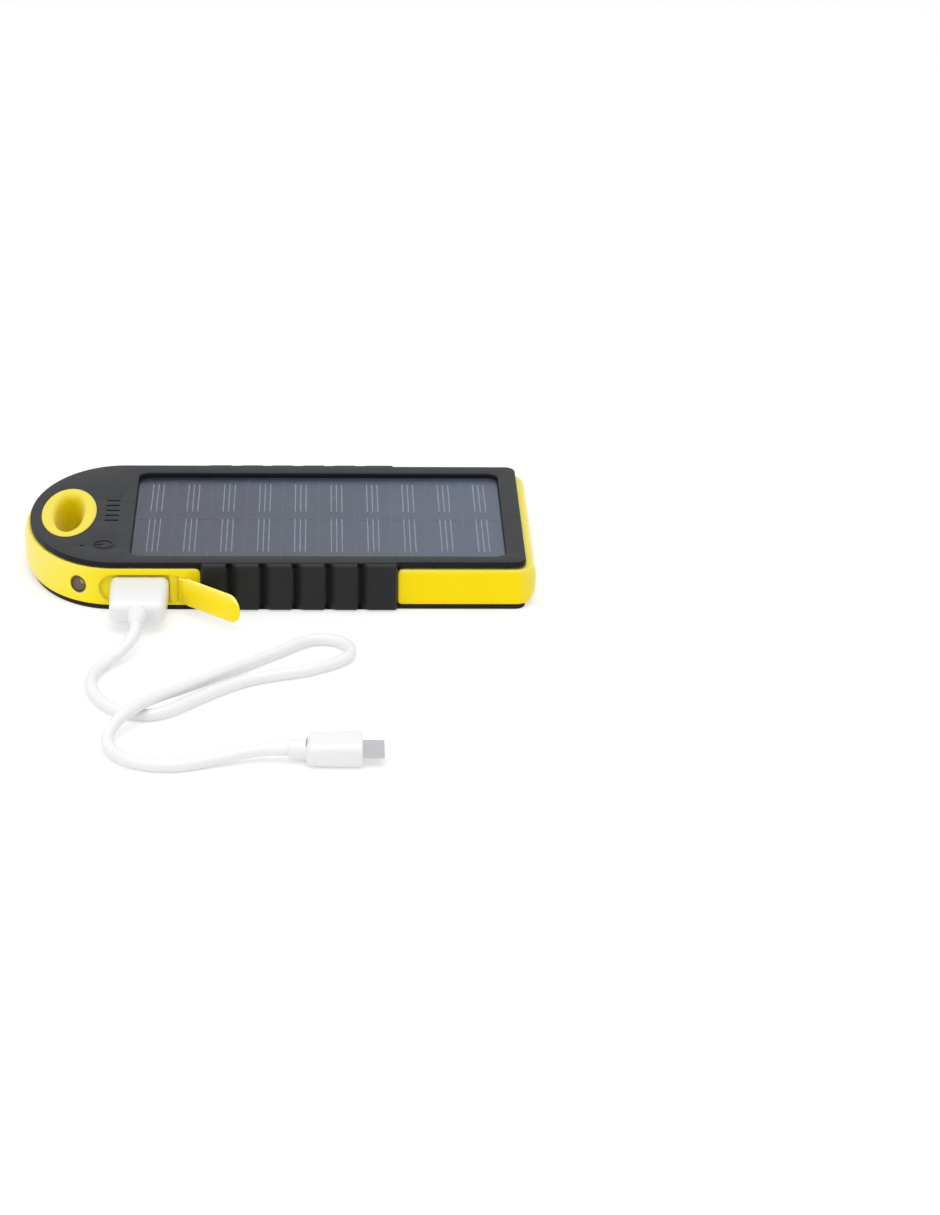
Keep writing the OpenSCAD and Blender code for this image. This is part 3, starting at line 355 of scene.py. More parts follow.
def arc(cx, cy, rx, ry, start, stop, n):
    # n + 1 points of an ellipse: the centre plus the half axes times cosine and sine
    a = np.radians(np.linspace(start, stop, n + 1))
    return abreast(cx + rx * np.cos(a), cy + ry * np.sin(a))


def circle(middle, r, n):
    return arc(middle[0], middle[1], r, r, 0, 360, n)[:-1]


def roundedBox(size, r, middle=(0, 0), n=8):
    # counter-clockwise rectangle about a middle, with a quarter circle at each corner
    return np.concatenate([
        arc(middle[0] + sx * (size[0] / 2 - r), middle[1] + sy * (size[1] / 2 - r), r, r, a, a + 90, n)
        for sx, sy, a in ((1, 1, 0), (-1, 1, 90), (-1, -1, 180), (1, -1, 270))])


def stepped(loop, step=None):
    # the closed loop without doubled points, and with no edge longer than step
    loop = loop[np.linalg.norm(np.roll(loop, -1, 0) - loop, axis=1) > 1e-7]
    if step is None:
        return loop
    ends = np.roll(loop, -1, 0)
    counts = np.maximum(1, np.ceil(np.linalg.norm(ends - loop, axis=1) / step)).astype(int)
    share = np.concatenate([np.arange(c) / c for c in counts])[:, None]
    return np.repeat(loop, counts, 0) * (1 - share) + np.repeat(ends, counts, 0) * share


def pushOut(loop, distance):
    # the closed loop moved outwards, each point along the mitre of its two edges' normals
    along = unit(np.roll(loop, -1, 0) - loop)
    middle = along + np.roll(along, 1, 0)
    middle = middle / (middle * along).sum(1, keepdims=True)
    return loop + distance * abreast(middle[:, 1], -middle[:, 0])


def gridFaces(rows, columns, closed=False):
    # quads of a grid numbered row by row; closed joins the last column to the first
    r = np.arange(rows - 1)[:, None] * columns
    c = np.arange(columns if closed else columns - 1)[None, :]
    after = (c + 1) % columns
    return np.stack([r + c, r + after, r + after + columns, r + c + columns], axis=-1).reshape(-1, 4)


def roundRows(r, n=5):
    # a quarter circle as rows of (outwards, depth), from (-r, 0) to (0, r)
    if r == 0:
        return np.zeros((1, 2))
    a = quarter(n + 1)
    return abreast(r * np.sin(a) - r, r - r * np.cos(a))


def pushed(loop, rows):
    # one (loop, depth) for each row of (outwards, depth)
    return [(pushOut(loop, out), depth) for out, depth in rows]


def wall(levels):
    # a strip through levels, each a (loop, depth)
    rings = [abreast(*loop.T, depth) for loop, depth in levels]
    return np.concatenate(rings), gridFaces(len(rings), len(rings[0]), True), True


def inside(points, starts, ends):
    # whether each point is inside: a ray from it towards +X crosses an odd number of edges
    x, y = points[:, :1], points[:, 1:]
    (ax, ay), (bx, by) = starts.T, ends.T
    level = np.where(by == ay, 1, by - ay)
    crossing = ax + (y - ay) / level * (bx - ax)
    return (((ay > y) != (by > y)) & (x < crossing)).sum(1) % 2 == 1


def fill(loops, depth, spacing=0.0):
    # triangles of the flat region inside the first loop and outside the others, with a grid of
    # points in it where spacing isn't 0, so that it can be bent
    points = rim = np.concatenate(loops)
    numbers = np.arange(len(rim))
    own = np.split(numbers, np.cumsum([len(loop) for loop in loops])[:-1])
    edges = abreast(numbers, np.concatenate([np.roll(k, -1) for k in own]))
    ends = rim[edges[:, 1]]
    if spacing:
        axes = [np.arange(lo + spacing / 2, hi, spacing) for lo, hi in zip(rim.min(0), rim.max(0))]
        spots = np.stack(np.meshgrid(*axes), axis=-1).reshape(-1, 2)
        spots = spots[inside(spots, rim, ends)]
        clear = np.linalg.norm(spots[:, None] - rim, axis=2).min(1)
        points = np.concatenate([rim, spots[clear > 0.55 * spacing]])
    made = delaunay_2d_cdt([*map(Vector, points / mm)], edges.tolist(), [], 0, 1e-7)
    flat = np.array(made[0]) * mm
    triangles = np.array(made[2])
    triangles = triangles[inside(flat[triangles].mean(1), rim, ends)]
    return abreast(*flat.T, depth), triangles, spacing > 0


def backRows(rim, thick):
    # the rim's quarter circle turned over, at the sheet's back
    return roundRows(rim)[::-1] * (1, -1) + (0, thick)


def edgeOf(loop, thick, rim, backRim):
    # a sheet's outer wall, from its rounded front rim to its rounded back rim
    return pushed(loop, np.concatenate([roundRows(rim), backRows(backRim, thick)]))


def slab(edge, openings, thick, spacing=0.0):
    # A sheet from depth 0 to thick, whose outer wall is the levels in edge. An opening has a loop,
    # a rim's radius, and sometimes a floor's depth and the loops that go through the floor.
    parts = [wall(edge)]
    front, rear = [edge[0][0]], [edge[-1][0]]
    for hole in openings:
        loop = hole["loop"]
        floor = hole.get("floor", thick)
        parts.append(wall(pushed(loop, np.concatenate([roundRows(hole["rim"]) * (-1, 1), [[0, floor]]]))))
        front.append(pushOut(loop, hole["rim"]))
        if "floor" in hole:
            parts.append(fill([loop, *hole["through"]], floor, spacing))
            parts += [wall([(inner, floor), (inner, thick)]) for inner in hole["through"]]
            rear += hole["through"]
        else:
            rear.append(loop)
    parts.append(fill(front, 0, spacing))
    parts.append(fill(rear, thick, spacing))
    return parts


def loft(rings):
    # a skin over rings of points, closed at both ends
    rows, columns = rings.shape[:2]
    ends = [(rings[k], np.arange(columns)[None], False) for k in (0, -1)]
    return [(rings.reshape(-1, 3), gridFaces(rows, columns, True), True)] + ends


def revolve(profile, n=96):
    # a profile of (radius, height) turned about +Z
    a = turns(n)
    ring = abreast(np.cos(a), np.sin(a), 1)
    return loft(np.array([ring * (r, r, z) for r, z in profile]))


def moved(parts, change):
    # the same parts with their points changed
    return [(change(part[0]), *part[1:]) for part in parts]


def buildPiece(name, parts, look, body, node, crease=40):
    # Joins the parts into one mesh, welds its seams and turns its faces outwards. A part is
    # (points, faces, whether it is smooth, and which of the finishes it takes).
    mesh = bpy.data.meshes.new(name)
    starts = np.cumsum([0] + [len(part[0]) for part in parts])
    faces = sum([(part[1] + start).tolist() for part, start in zip(parts, starts)], [])
    mesh.from_pydata(np.concatenate([part[0] for part in parts]).tolist(), [], faces)
    counts = [len(part[1]) for part in parts]
    mesh.polygons.foreach_set("use_smooth", np.repeat([part[2] for part in parts], counts))
    mesh.polygons.foreach_set("material_index", np.repeat([(*part, 0)[3] for part in parts], counts))
    work = bmesh.new()
    work.from_mesh(mesh)
    bmesh.ops.remove_doubles(work, verts=work.verts, dist=0.002 * mm)
    bmesh.ops.dissolve_degenerate(work, edges=work.edges, dist=1e-7)
    bmesh.ops.recalc_face_normals(work, faces=work.faces)
    work.to_mesh(mesh)
    work.free()
    mesh.set_sharp_from_angle(angle=np.radians(crease))
    for finish in look["finish"].split():
        mesh.materials.append(materials[finish])
    piece = bpy.data.objects.new(name, mesh)
    scene.collection.objects.link(piece)
    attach(piece, body)
    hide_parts(node)
    print("made", name, len(mesh.polygons), "faces")
    return piece


def pointsOf(mesh):
    # the mesh's points as one array
    points = np.empty(3 * len(mesh.vertices), np.float32)
    mesh.vertices.foreach_get("co", points)
    return points.reshape(-1, 3).astype(float)


def span(node):
    return [np.array(corner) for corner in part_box(node)]


def middleOf(node):
    return sum(span(node)) / 2


# The cable's route in millimetres, from the large plug's relief to the small plug's.
cableLook = {"radius": 1.6, "sides": 28, "step": 6, "finish": "cableJacket"}
cableRoute = [
    (-37.3, -60, 6), (-37.4, -63.6, 5.6), (-38.6, -67, 4.6), (-40.9, -70.6, 3.2),
    (-44, -74.4, 2.1), (-46.8, -79.6, 1.6), (-47.8, -86.4, 1.6), (-46.2, -93.8, 1.6),
    (-42.8, -100.2, 1.6), (-37.8, -104.8, 1.6), (-32, -106, 1.6), (-26.4, -103.2, 1.6),
    (-20.6, -97.2, 1.6), (-14.4, -90.8, 1.6), (-7.4, -85.2, 1.6), (0.4, -81.6, 1.6),
    (6.6, -79.5, 1.6), (12.4, -76.4, 1.6), (17.1, -72.7, 1.6), (19.4, -69.4, 1.6),
    (19.8, -65.5, 1.6), (18.3, -61.9, 1.6), (15.1, -59.4, 1.6), (11.1, -59, 1.6),
    (7.1, -60.9, 1.6), (1.4, -66.6, 1.6), (-6.4, -74.1, 1.7), (-15, -83.4, 2.3),
    (-23, -93, 3.4), (-29.4, -100.8, 4.5), (-34.4, -107.6, 5.1), (-38.8, -113.8, 4.4),
    (-41.4, -120.4, 2.8), (-40.4, -126.4, 1.8), (-36.2, -131.8, 1.6), (-29.8, -134.8, 1.6),
    (-22.4, -134.8, 1.6), (-13, -131.6, 2), (-4, -129.4, 3), (4, -129.3, 3.3),
]


def smoothRoute(route, n, floor):
    # a cubic on each segment, whose slope at a point is half the step between that point's two
    # neighbours, never lower than floor
    p = np.array(route, float)
    last = len(p) - 1
    before, a, b, after = (p[np.clip(np.arange(last) + k, 0, last)][:, None] for k in (-1, 0, 1, 2))
    u = (np.arange(n) / n)[None, :, None]
    curve = 0.5 * (2 * a + (b - before) * u + (2 * before - 5 * a + 4 * b - after) * u ** 2
                   + (3 * a - before - 3 * b + after) * u ** 3)
    path = np.concatenate([curve.reshape(-1, 3), p[-1:]])
    path[:, 2] = np.maximum(path[:, 2], floor)
    return path


def tubeRings(path, radius, sides, first, last):
    # circles square to the path, and at its ends to the directions first and last
    along = np.empty_like(path)
    along[1:-1] = path[2:] - path[:-2]
    along[0], along[-1] = first, last
    along = unit(along)
    side = unit(np.cross((0, 0, 1), along))
    up = np.cross(along, side)
    a = turns(sides)[None, :, None]
    return path[:, None] + radius * (np.cos(a) * side[:, None] + np.sin(a) * up[:, None])


def makeCable(look):
    # a circle carried along the route's smooth curve
    path = smoothRoute(cableRoute, look["step"], look["radius"]) * mm
    rings = tubeRings(path, look["radius"] * mm, look["sides"], (0, -1, 0), (1, 0, 0))
    cable = buildPiece("charge_cable", loft(rings), look, "charging_cable", "cable")
    return cable, path


# The plugs' grips and reliefs, in millimetres: each one's node and the axis that it lies along
# (0 is X, 1 is Y); how round a grip's corners and ends are and how much it narrows; a relief's
# thin end, and how many rings and how deep grooves it has.
plugLooks = {
    "plug_body": {"node": "plug_grip", "axis": 1, "corner": 1.9, "mouth": 0.8, "tail": 2.4, "taper": 0.5},
    "plug_sleeve": {"node": "plug_relief", "axis": 1, "thin": 1.75, "rings": 3, "groove": 0.07},
    "small_plug_body": {"node": "micro_grip", "axis": 0, "corner": 2.1, "mouth": 0.5, "tail": 1.8,
                        "taper": 0.3},
    "small_plug_sleeve": {"node": "micro_relief", "axis": 0, "thin": 2.4, "rings": 3, "groove": 0.07},
}


def gripRings(length, w, h, look):
    # rounded boxes along +Z from the mouth at 0, pulled in by a quarter circle at both ends and
    # by the taper towards the tail
    mouth, tail = look["mouth"], look["tail"]
    a = quarter(7)
    z = np.concatenate([mouth * (1 - np.cos(a)), np.linspace(mouth, length - tail, 8)[1:-1],
                        length - tail * (1 - np.sin(a))])
    inset = np.concatenate([mouth * (1 - np.sin(a)), np.zeros(6), tail * (1 - np.cos(a))])
    narrow = 2 * (inset + look["taper"] * (z / length) ** 2)
    loops = [roundedBox((w - n, h - n), max(0.3, look["corner"] - i * 0.6)) for i, n in zip(inset, narrow)]
    return np.concatenate([loops, z[:, None, None] + np.zeros((len(z), len(loops[0]), 1))], axis=2)


def reliefRings(length, wide, look):
    # circles along +Z, whose radius falls smoothly to the thin end, with grooves where a raised
    # cosine peaks
    z = np.linspace(0, length, 60)
    u = z / length
    wave = np.clip(np.cos(2 * np.pi * (u * (look["rings"] + 0.5) + 0.5)), 0, 1) ** 2
    radius = wide + (look["thin"] - wide) * u ** 0.8 - look["groove"] * wave * np.sin(np.pi * u)
    a = turns(48)
    return np.stack([radius[:, None] * np.cos(a), radius[:, None] * np.sin(a), z[:, None] + 0 * a], axis=2)


def makePlug(name, look):
    # lays the rings along the axis, back from the node's high end
    low, high = span(look["node"])
    size, axis = (high - low) / mm, look["axis"]
    if "corner" in look:
        rings = gripRings(size[axis], size[1 - axis], size[2], look) * mm
    else:
        rings = reliefRings(size[axis], size[1 - axis] / 2, look) * mm
    laid = middleOf(look["node"]) + rings[:, :, [0, 0, 1]]
    laid[:, :, axis] = high[axis] - rings[:, :, 2]
    return buildPiece(name, loft(laid), {"finish": "whitePlug"}, "charging_cable", look["node"])


cable, cablePath = makeCable(cableLook)
onCable = [makePlug(name, look) for name, look in plugLooks.items()]
onCable += [frame["nodes"][name] for name in ("plug_shell", "plug_insulator", "micro_shell")]

# Where the case's lines lie, from the frame.
topLow, topHigh = span("top_shell")
bandLow, bandHigh = span("nose_bumper")
tailLow, tailHigh = span("tail_bumper")
gripLow, gripHigh = span("side_grip_front")
eyeLow, eyeHigh = span("lanyard_eye")
fit = 0.1 * mm
caseTip, caseEnd, caseSide, caseTop = topLow[0], *topHigh
noseStart = eyeHigh[0] + 6.6 * mm    # where the nose starts to round
plateLow, baseHigh = bandHigh[2] + fit, bandLow[2] - fit
tailStep, tailRound = 0.6 * mm, 3.0 * mm
seam = 0.01 * mm     # how far behind the plates their CAD structure is cut
hinges = {joint["name"]: np.array(joint["pos_m"]) for joint in frame["joints"] if "pos_m" in joint}

# The side grips, in millimetres: the pads' height, their section's two exponents and how near
# the plates they reach; then the flutes' depth, places and shape.
gripLook = {
    "padOut": 1.5, "squareness": 12, "softness": 0.38, "wrapGap": 0.08, "wrapOver": 0.4, "sunk": 0.7,
    "flutes": 5, "first": 8.5, "pitch": 8.95, "width": 3.9, "steep": 0.14, "slow": 0.12,
    "endRound": 0.9, "endFull": 2.5, "floorGap": 0.02, "lip": 0.4, "finish": "gripRubber",
}


def smoothStep(low, high, x):
    # rises from 0 at low to 1 at high with no kink
    t = np.clip((x - low) / (high - low), 0, 1)
    return t * t * (3 - 2 * t)


def gripReach(x):
    # How far out the grips' fullest line lies: at the pads' height, falling steeply into each
    # flute and rising slowly out of it, and rounded off at both ends.
    look = gripLook
    flute = np.zeros_like(x)
    for k in range(look["flutes"]):
        start = gripLow[0] + (look["first"] + k * look["pitch"] - look["width"] / 2) * mm
        u = (x - start) / (look["width"] * mm)
        flute = np.maximum(flute, smoothStep(0, look["steep"], u) * (1 - smoothStep(look["slow"], 1, u)))
    inFromEnd = np.minimum(x - gripLow[0], gripHigh[0] - x) / (look["endRound"] * mm)
    ends = 1 - np.clip(1 - inFromEnd, 0, 1) ** look["endFull"]
    full = caseSide + look["padOut"] * mm * ends
    return full - (full - caseSide + look["sunk"] * mm) * flute


def plateOutline():
    # half an ellipse at the nose, straight sides with many points, a step of two quarter circles
    # beside the tail band, and quarter circles at the tail
    outer, inner, x, r = 0.55 * tailStep, 0.45 * tailStep, gripHigh[0], tailRound
    nose = arc(noseStart, 0, noseStart - caseTip, caseSide, 90, 270, 120)
    along = np.linspace(gripLow[0], x - outer - 0.1 * mm, 215)
    front = [abreast(along, -caseSide),
             arc(x - outer, outer - caseSide, outer, outer, 270, 360, 6),
             arc(x + inner, tailStep - caseSide - inner, inner, inner, 180, 90, 6),
             arc(caseEnd - r, tailStep - caseSide + r, r, r, 270, 360, 14)]
    rear = [part[::-1] * (1, -1) for part in front[::-1]]
    return stepped(np.concatenate([nose, *front, *rear]))


def fluted(loop):
    # the plate's loop, kept behind the floors of the flutes
    x, y = loop.T
    reach = np.where((x > gripLow[0]) & (x < gripHigh[0] - 0.6 * mm), gripReach(x), 1)
    return abreast(x, np.sign(y) * np.minimum(np.abs(y), reach - gripLook["floorGap"] * mm))


def plateEdge(outline, thick, rim, backRim):
    # the plate's outer wall: a rounded lip, then the same outline let in at the flutes
    lip = gripLook["lip"] * mm
    back = [(fluted(loop), depth) for loop, depth in pushed(outline, backRows(backRim, thick))]
    return pushed(outline, roundRows(rim)) + [(outline, lip), (fluted(outline), lip)] + back


def structureOf(node, height, above):
    # a merged copy of a CAD node's mesh, cut level at the height and closed
    work = bmesh.new()
    work.from_mesh(frame["nodes"][node].data)
    bmesh.ops.remove_doubles(work, verts=work.verts, dist=0.001 * mm)
    bmesh.ops.bisect_plane(work, geom=work.verts[:] + work.edges[:] + work.faces[:], plane_co=(0, 0, height),
                           plane_no=(0, 0, 1), clear_inner=above, clear_outer=not above)
    bmesh.ops.triangle_fill(work, use_beauty=True, edges=[e for e in work.edges if e.is_boundary])
    bmesh.ops.triangulate(work, faces=work.faces)
    cut = bpy.data.meshes.new("cut")
    work.to_mesh(cut)
    work.free()
    points, faces = pointsOf(cut), np.empty(len(cut.loops), np.int32)
    cut.loops.foreach_get("vertex_index", faces)
    bpy.data.meshes.remove(cut)
    return points, faces.reshape(-1, 3), False


# The top and base plates, in millimetres: how round their edges and the holes' edges are.
topLook = {"rim": 0.38, "inner": 0.25, "windowRim": 0.5, "windowCorner": 3.2, "buttonHole": 3.91,
           "buttonRim": 0.03, "slot": (3.8, 1.15), "slotRim": 0.1, "slotEnds": 2.4, "lampHole": 0.55,
           "lampRim": 0.08, "eyeRim": 0.1, "finish": "topPlastic"}
baseLook = {"rim": 0.38, "inner": 0.2, "screwHole": 1.8, "screwRim": 0.15, "eyeRim": 0.2,
            "finish": "basePlastic"}


def eyeLoop():
    # the ellipse of the eye's body, inside its lip, with the clearance
    middle, half = middleOf("lanyard_eye"), (eyeHigh - eyeLow) / 2 - 0.5 * mm + fit
    return arc(middle[0], middle[1], half[0], half[1], 0, 360, 128)[:-1]


def makePlate(name, look, openings, depth, node):
    # a plate drawn from its outer face at depth 0, and behind it the rest of its CAD node
    openings = [{"loop": stepped(loop), "rim": rim * mm} for loop, rim in openings]
    above = node == "bottom_shell"
    parts = slab(plateEdge(plateOutline(), depth, look["rim"] * mm, look["inner"] * mm), openings, depth)
    if above:
        parts.append(structureOf(node, depth + seam, True))
    else:
        parts = moved(parts, lambda p: p * (1, 1, -1) + (0, 0, caseTop))
        parts.append(structureOf(node, caseTop - depth - seam, False))
    buildPiece(name, parts, look, "case", node)


def makeTop(look):
    # a flat plate with round-edged holes for the panel, eye, button, lamp and five slots
    windowLow, windowHigh = span("panel_cover")
    lens, lensLow, lensHigh = middleOf("indicator_lens"), *span("indicator_lens")
    slotL, slotW = (v * mm for v in look["slot"])
    pitch = (lensHigh[1] - lensLow[1] - look["slotEnds"] * mm) / 4
    windowSize, windowCorner = windowHigh - windowLow + 2 * fit, look["windowCorner"] * mm
    window = roundedBox(windowSize, windowCorner, middleOf("panel_cover"), 12)
    openings = [(window, look["windowRim"]), (eyeLoop(), look["eyeRim"]),
                (circle(middleOf("power_button"), look["buttonHole"] * mm, 72), look["buttonRim"]),
                (circle(middleOf("charge_lens"), look["lampHole"] * mm, 24), look["lampRim"])]
    openings += [(roundedBox((slotL, slotW), slotW / 2, (lens[0], lens[1] + k * pitch)), look["slotRim"])
                 for k in range(-2, 3)]
    makePlate("top_cover", look, openings, caseTop - plateLow, "top_shell")


def makeBase(look):
    # a flat plate with round-edged holes for the eye and the screws
    openings = [(eyeLoop(), look["eyeRim"])]
    openings += [(circle(middle, look["screwHole"] * mm, 40), look["screwRim"]) for middle in screwPlaces()]
    makePlate("base_cover", look, openings, baseHigh, "bottom_shell")


def screwPlaces():
    # the middles of the screw heads, whose points fall into two rows of groups, far apart
    headTop, apart = 1.4 * mm, 4 * mm
    heads = pointsOf(frame["nodes"]["case_screws"].data)
    heads = heads[heads[:, 2] < headTop]
    places = []
    for front in (True, False):
        row = heads[(heads[:, 1] < 0) == front]
        order = row[np.argsort(row[:, 0])]
        groups = np.split(order, np.nonzero(np.diff(order[:, 0]) > apart)[0] + 1)
        places += [(g.min(0) + g.max(0)) / 2 for g in groups]
    return places


makeTop(topLook)
makeBase(baseLook)

# The two yellow bands, in millimetres: how far they stand out, the exponents of how full their
# section is and how much it thins at its edges, their ends' corners and their rims; then the
# pockets in the nose band, with the front one's shelf: how far it and its slope reach, and the
# dip for the bead.
noseLook = {"sideOut": 0.2, "full": 3.5, "thinner": 0.6, "endCorner": 1.6, "rim": 0.25, "topGap": 0.22,
            "spacing": 0.7, "torchR": 2.45, "torchRim": 0.35, "finish": "bandRubber"}
tailLook = {"full": 3.5, "thinner": 0.6, "sideFull": 8, "endCorner": 1.3, "rim": 0.5, "topGap": 0.55,
            "spacing": 0.8, "finish": "tailRubber"}
pocketLook = {"low": 1.95, "high": 10.3, "deep": 1.5, "cradle": 0.8, "rim": 0.2, "corner": 3.2,
              "front": 22.6, "rear": 27.0, "portRoom": 0.2, "shelf": 2.9, "shelfDeep": 0.2,
              "slope": 0.7, "dip": 1.6, "behind": 1.2, "slack": 0.05}


def bandPlace(tables, shares):
    # Bends (along, height, depth) round the case. The tables are the plans of the channel's
    # floor, the plates' rim and the fullest line; a point lies between the last two by its
    # height's share, and then goes towards the first with its depth.
    floor, base, full = tables
    along = travelled(full)
    deep = np.linalg.norm(full[0] - floor[0])
    middle, half = (bandLow[2] + bandHigh[2]) / 2, (bandHigh[2] - bandLow[2]) / 2

    def place(points):
        s, z, depth = points.T
        low, plan, high = (abreast(*(np.interp(s, along, line) for line in t.T))
                           for t in (floor, base, full))
        outer = plan + shares(np.abs(z - middle) / half) * (high - plan)
        return np.column_stack([outer + (depth / deep)[:, None] * (low - outer), z])

    return place, along[-1], deep


def arm(start, stop, side):
    # a band's straight front arm, in 39 steps
    x = np.linspace(start, stop, 40)[:-1]
    return abreast(x, -side)


def nosePath(tip, side):
    # the front arm, the nose's half ellipse and the rear arm
    front = arm(bandHigh[0], noseStart, side)
    nose = arc(noseStart, 0, noseStart - tip, side, 270, 90, 400)
    return np.concatenate([front, nose, front[::-1] * (1, -1)])


def tailPath(end, side, r):
    # the front arm, the flat tail between two round corners, and the rear arm
    front = np.concatenate([arm(tailLow[0], end - r, side), arc(end - r, r - side, r, r, 270, 360, 60)])
    flat = abreast(end, np.linspace(r - side, side - r, 42)[1:-1])
    return np.concatenate([front, flat, front[::-1] * (1, -1)])


bandStep = 0.8 * mm    # the longest edge of an outline that is bent round the case
channel = abs(gripHigh[1])    # how far out the channel's floor lies, where the grips start
channelDeep = caseSide - channel
noseTables = (nosePath(caseTip + channelDeep, channel), nosePath(caseTip, caseSide),
              nosePath(bandLow[0], caseSide + noseLook["sideOut"] * mm))
onNose, noseLength, noseDeep = bandPlace(
    noseTables, lambda t: (1 - noseLook["thinner"] * t ** noseLook["full"])[:, None] * (1, 1))
tailTables = (tailPath(caseEnd - channelDeep, channel, 2.1 * mm),
              tailPath(caseEnd, caseSide - tailStep, tailRound),
              tailPath(tailHigh[0], caseSide, tailRound + tailHigh[0] - caseEnd))
onTail, tailLength, tailDeep = bandPlace(tailTables, lambda t: abreast(
    1 - tailLook["thinner"] * t ** tailLook["full"], 1 - t ** tailLook["sideFull"]))


def alongNose(x, rear):
    # how far along the nose band a place on one of its straight arms lies
    return noseLength - (bandHigh[0] - x) if rear else bandHigh[0] - x


def lidLoop(root, far, middle, r, c, n, cornerN):
    # counter-clockwise, a half circle about far, then a rectangle back to root with corners c
    x, y = root + c, r - c
    return np.concatenate([arc(far, middle, r, r, -90, 90, n), arc(x, middle + y, c, c, 90, 180, cornerN),
                           arc(x, middle - y, c, c, 180, 270, cornerN)])


def pocketLoop(hingeX, length, rear):
    # the pocket's outline, from just past the hinge
    k = {key: value * mm for key, value in pocketLook.items()}
    r, middle = (k["high"] - k["low"]) / 2, (k["high"] + k["low"]) / 2
    loop = lidLoop(-k["cradle"], length * mm - r, middle, r, k["corner"], 24, 5)
    if rear:
        loop = loop[::-1] * (-1, 1)
    return stepped(loop + (alongNose(hingeX, rear), 0), bandStep)


def portLoop(node, rear):
    # a socket's outline, with some room, in a pocket's floor
    (low, high), middle = span(node), middleOf(node)
    size = high - low + 2 * pocketLook["portRoom"] * mm
    box = roundedBox((size[0], size[2]), 0.3 * mm, (alongNose(middle[0], rear), middle[2]), 3)
    return stepped(box, bandStep)


def shelved(points, front):
    # The front pocket's floor rises to a shelf beside the hinge, with a dip for the bead: there
    # the depths are scaled by one factor.
    k = pocketLook
    s, z, depth = points.T
    fromHinge = (s - alongNose(front[0], False)) / mm
    bead = smoothStep(-1, k["cradle"] * 2, k["dip"] - np.abs(fromHinge))
    shelf = bead * (k["cradle"] + k["slack"] - k["shelfDeep"]) + k["shelfDeep"]
    share = smoothStep(k["shelf"] + k["slope"], k["shelf"], fromHinge) * (fromHinge > -k["behind"])
    factor = 1 - share * (1 - shelf / k["deep"])
    low, high = (k["low"] - k["slack"]) * mm, (k["high"] + k["slack"]) * mm
    within = (z > low) & (z < high) & (depth <= k["deep"] * mm + 1e-6)
    return abreast(s, z, np.where(within, depth * factor, depth))


def bandSlab(look, length, deep, openings):
    # a band drawn flat, as long as its path and as high as the plates allow
    low, high = bandLow[2], bandHigh[2] - look["topGap"] * mm
    outline = roundedBox((length, high - low), look["endCorner"] * mm, (length / 2, (high + low) / 2))
    edge = edgeOf(stepped(outline, bandStep), deep, look["rim"] * mm, 0.1 * mm)
    return slab(edge, openings, deep, look["spacing"] * mm)


def makeNose(look):
    # the flat band, with a pocket on each arm and the torch's hole, bent round the nose
    k = pocketLook
    front, rear = hinges["front_lid_hinge"], hinges["rear_lid_hinge"]
    full, torch = noseTables[2], middleOf("torch_reflector")
    nearest = np.argmin(np.linalg.norm(full - torch[:2], axis=1))
    pocket = {"rim": k["rim"] * mm, "floor": k["deep"] * mm}
    openings = [
        {**pocket, "loop": pocketLoop(front[0], k["front"], False),
         "through": [portLoop("front_usb_shell", False)]},
        {**pocket, "loop": pocketLoop(rear[0], k["rear"], True),
         "through": [portLoop("rear_usb_shell", True), portLoop("micro_usb_shell", True)]},
        {"loop": circle((travelled(full)[nearest], torch[2]), look["torchR"] * mm, 56),
         "rim": look["torchRim"] * mm},
    ]
    parts = moved(bandSlab(look, noseLength, noseDeep, openings), lambda p: onNose(shelved(p, front)))
    buildPiece("nose_band", parts, look, "case", "nose_bumper")


def makeTail(look):
    # the flat band, bent round the tail's two corners
    parts = moved(bandSlab(look, tailLength, tailDeep, []), onTail)
    buildPiece("tail_band", parts, look, "case", "tail_bumper")


makeNose(noseLook)
makeTail(tailLook)


def makeGrip(name, node, turn, look):
    # One closed section for each place along the grip: the bar in the channel, and in front of it
    # the pad, whose thickness at half height t is (1 - |t| ^ squareness) ^ softness. Where it
    # stands out past the plates it spreads over their edges.
    x = np.linspace(gripLow[0], gripHigh[0], 460)[:, None]
    t = np.sin(np.linspace(-np.pi / 2, np.pi / 2, 45))
    reach = gripReach(x)
    root = np.minimum(reach, caseSide + look["wrapGap"] * mm)
    spread = smoothStep(0, look["wrapOver"] * mm, reach - root)
    low = gripLow[2] + (bandLow[2] - gripLow[2]) * (1 - spread)
    high = gripHigh[2] + (bandHigh[2] - gripHigh[2]) * (1 - spread)
    swell = (1 - np.abs(t) ** look["squareness"]).clip(0) ** look["softness"]
    flat = np.ones_like(x)
    reaches = np.hstack([channel * flat, root, root + (reach - root) * swell, root, channel * flat])
    under, over = bandLow[2] * flat, bandHigh[2] * flat
    heights = np.hstack([under, under, (low + high) / 2 + t * (high - low) / 2, over, over])
    rings = np.stack([x + 0 * reaches, reaches * turn, heights], axis=2)
    buildPiece(name, loft(rings), look, "case", node, 50)


makeGrip("front_grip", "side_grip_front", -1, gripLook)
makeGrip("rear_grip", "side_grip_rear", 1, gripLook)

# The eye's ring, in millimetres: the inner half axes, how its two lips are rounded, how far out
# the part below them goes, and its foot. Widths are shares of the ring's.
ringLook = {"inner": (3.7, 13.25), "innerLip": (0.38, 2.4), "outerLip": (0.2, 0.28), "body": 0.877,
            "low": 0.1, "chamfer": (0.08, 0.3), "finish": "eyeRubber"}


